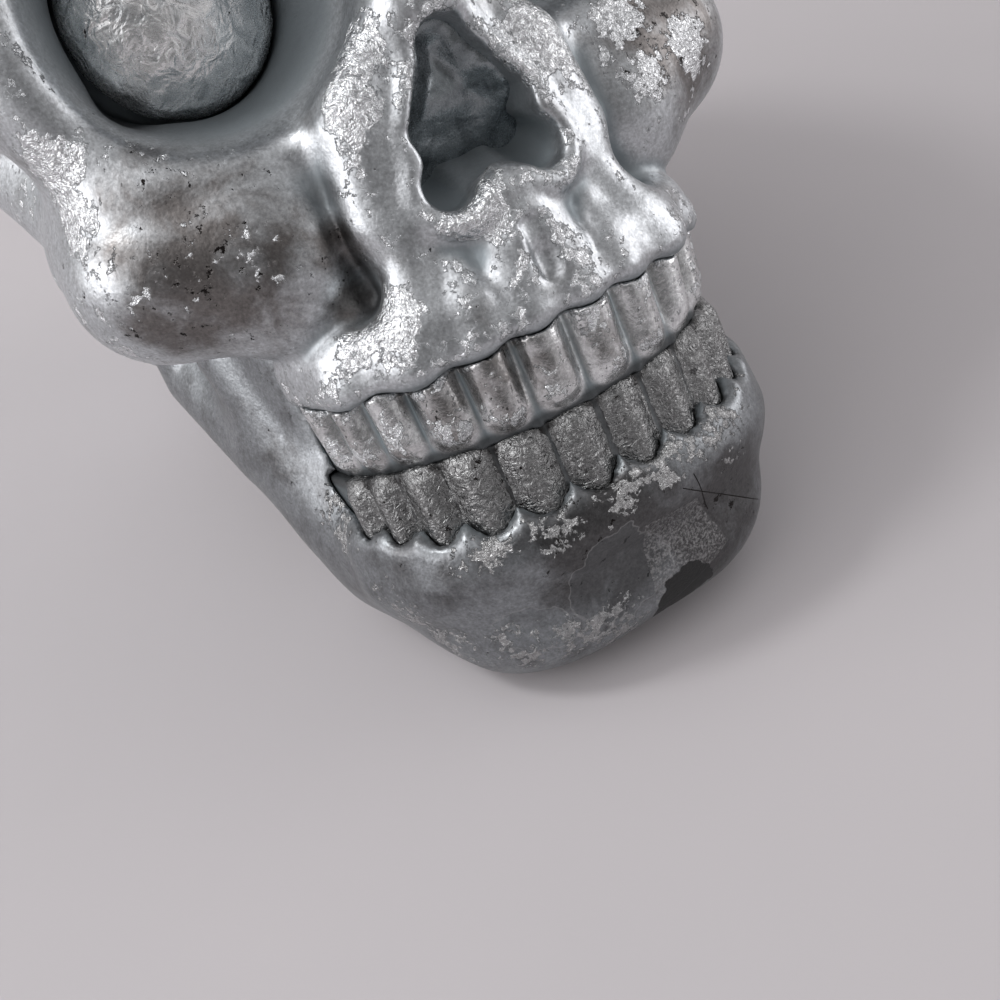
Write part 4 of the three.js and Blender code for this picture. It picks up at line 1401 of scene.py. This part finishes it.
@dataclass
class Studio:
    """Table top, soft light from both sides and the camera of the photograph."""

    carver: Carver
    azimuth: float = -16.948
    elevation: float = 18.0
    roll: float = -24.582
    eye: Point = (-61.227, -227.523, 87.064)
    focal_px: float = 1150.0
    frame_px: float = 1000.0
    sensor: float = 36.0
    near_clip: float = 0.005
    table_radius: float = 4.0
    wall: str = "#bab8b9"
    glows: tuple[Glow, ...] = (
        Glow(-95, 45, 14, 48, 3.2), Glow(75, 4, 14, 36, 5.5), Glow(-100, 5, 10, 32, 3.4),
        Glow(-20, 12, 12, 45, 0.35))
    lamp_watts: float = 1.8
    lamp_size: float = 0.16
    lamp_at: Point = (-0.46, 0.12, 0.7)
    lamp_aim: Point = (0.0, 0.0, 0.06)

    def axes(self) -> tuple[Vector, Vector, Vector]:
        """Right, up and back of the camera on the upright sculpt."""
        back = heading(self.azimuth, self.elevation)
        right = heading(self.azimuth + 90, 0)
        up = back.cross(right)
        roll = math.radians(self.roll)
        c, s = math.cos(roll), math.sin(roll)
        return (c * right + s * up, -s * right + c * up, back)

    def camera(self) -> None:
        """Sets the camera at the photograph's viewing angle."""
        data = bpy.data.cameras.new("photo_camera")
        data.sensor_fit = "HORIZONTAL"
        data.sensor_width = self.sensor
        data.lens = self.sensor * self.focal_px / self.frame_px
        data.clip_start = self.near_clip
        thing = bpy.data.objects.new("photo_camera", data)
        bpy.context.scene.collection.objects.link(thing)
        turn = Matrix(self.axes()).transposed().to_4x4()
        stand = Matrix.Translation(Vector(self.eye) * MM)
        thing.matrix_world = self.carver.placement.matrix() @ stand @ turn
        bpy.context.scene.camera = thing

    def table(self) -> None:
        """Lays the pale table top."""
        bpy.ops.object.select_all(action="DESELECT")
        bpy.ops.mesh.primitive_circle_add(
            vertices=96, radius=self.table_radius, fill_type="NGON", location=(0, 0, 0))
        top = bpy.context.object
        top.name = "table_top"
        top.data.materials.append(TableFinish().material())

    def light(self) -> None:
        """Hangs a lamp on the left in a pale room with bright sides and a dark front."""
        data = bpy.data.lights.new("lamp", "AREA")
        data.shape = "DISK"
        data.size = self.lamp_size
        data.energy = self.lamp_watts
        lamp = bpy.data.objects.new("lamp", data)
        lamp.location = self.lamp_at
        aim = Vector(self.lamp_aim) - lamp.location
        lamp.rotation_euler = aim.to_track_quat("-Z", "Y").to_euler()
        bpy.context.scene.collection.objects.link(lamp)
        world = bpy.data.worlds.new("pale_room")
        world.use_nodes = True
        world.node_tree.nodes.clear()
        add = partial(add_node, world.node_tree)
        way = add("TexCoord", out="Generated")
        levels = []
        for glow in self.glows:
            near = add("VectorMath DOT_PRODUCT", way, tuple(heading(glow.azimuth, glow.elevation)))
            rim, core = (math.cos(math.radians(v)) for v in (glow.reach, glow.core))
            levels.append(add("MapRange SMOOTHSTEP", near, rim, core, 1.0, glow.level))
        level = reduce(partial(add, "Math MULTIPLY"), levels)
        add("OutputWorld", add("Background", self.wall, level))
        bpy.context.scene.world = world

    def build(self) -> None:
        """Sets the table, the light, the camera and the view."""
        self.table()
        self.light()
        self.camera()
        bpy.context.scene.view_settings.view_transform = "Standard"


def main() -> None:
    """Builds the studio and the sub-assemblies in order."""
    logging.basicConfig(level=logging.INFO, format="%(name)s %(message)s")
    form = SkullForm()
    carver = Carver(Placement(form))
    Studio(carver).build()
    head = Head(form, carver)
    head.dress(head.build())
    jaw = Jaw(form, carver)
    jaw.dress(jaw.build())
    teeth = Teeth(form, carver)
    teeth.dress(teeth.build())
    inserts = Inserts(form, carver)
    inserts.dress(inserts.build())
    underside = Underside()
    underside.dress(*underside.build())


if __name__ == "__main__":
    main()
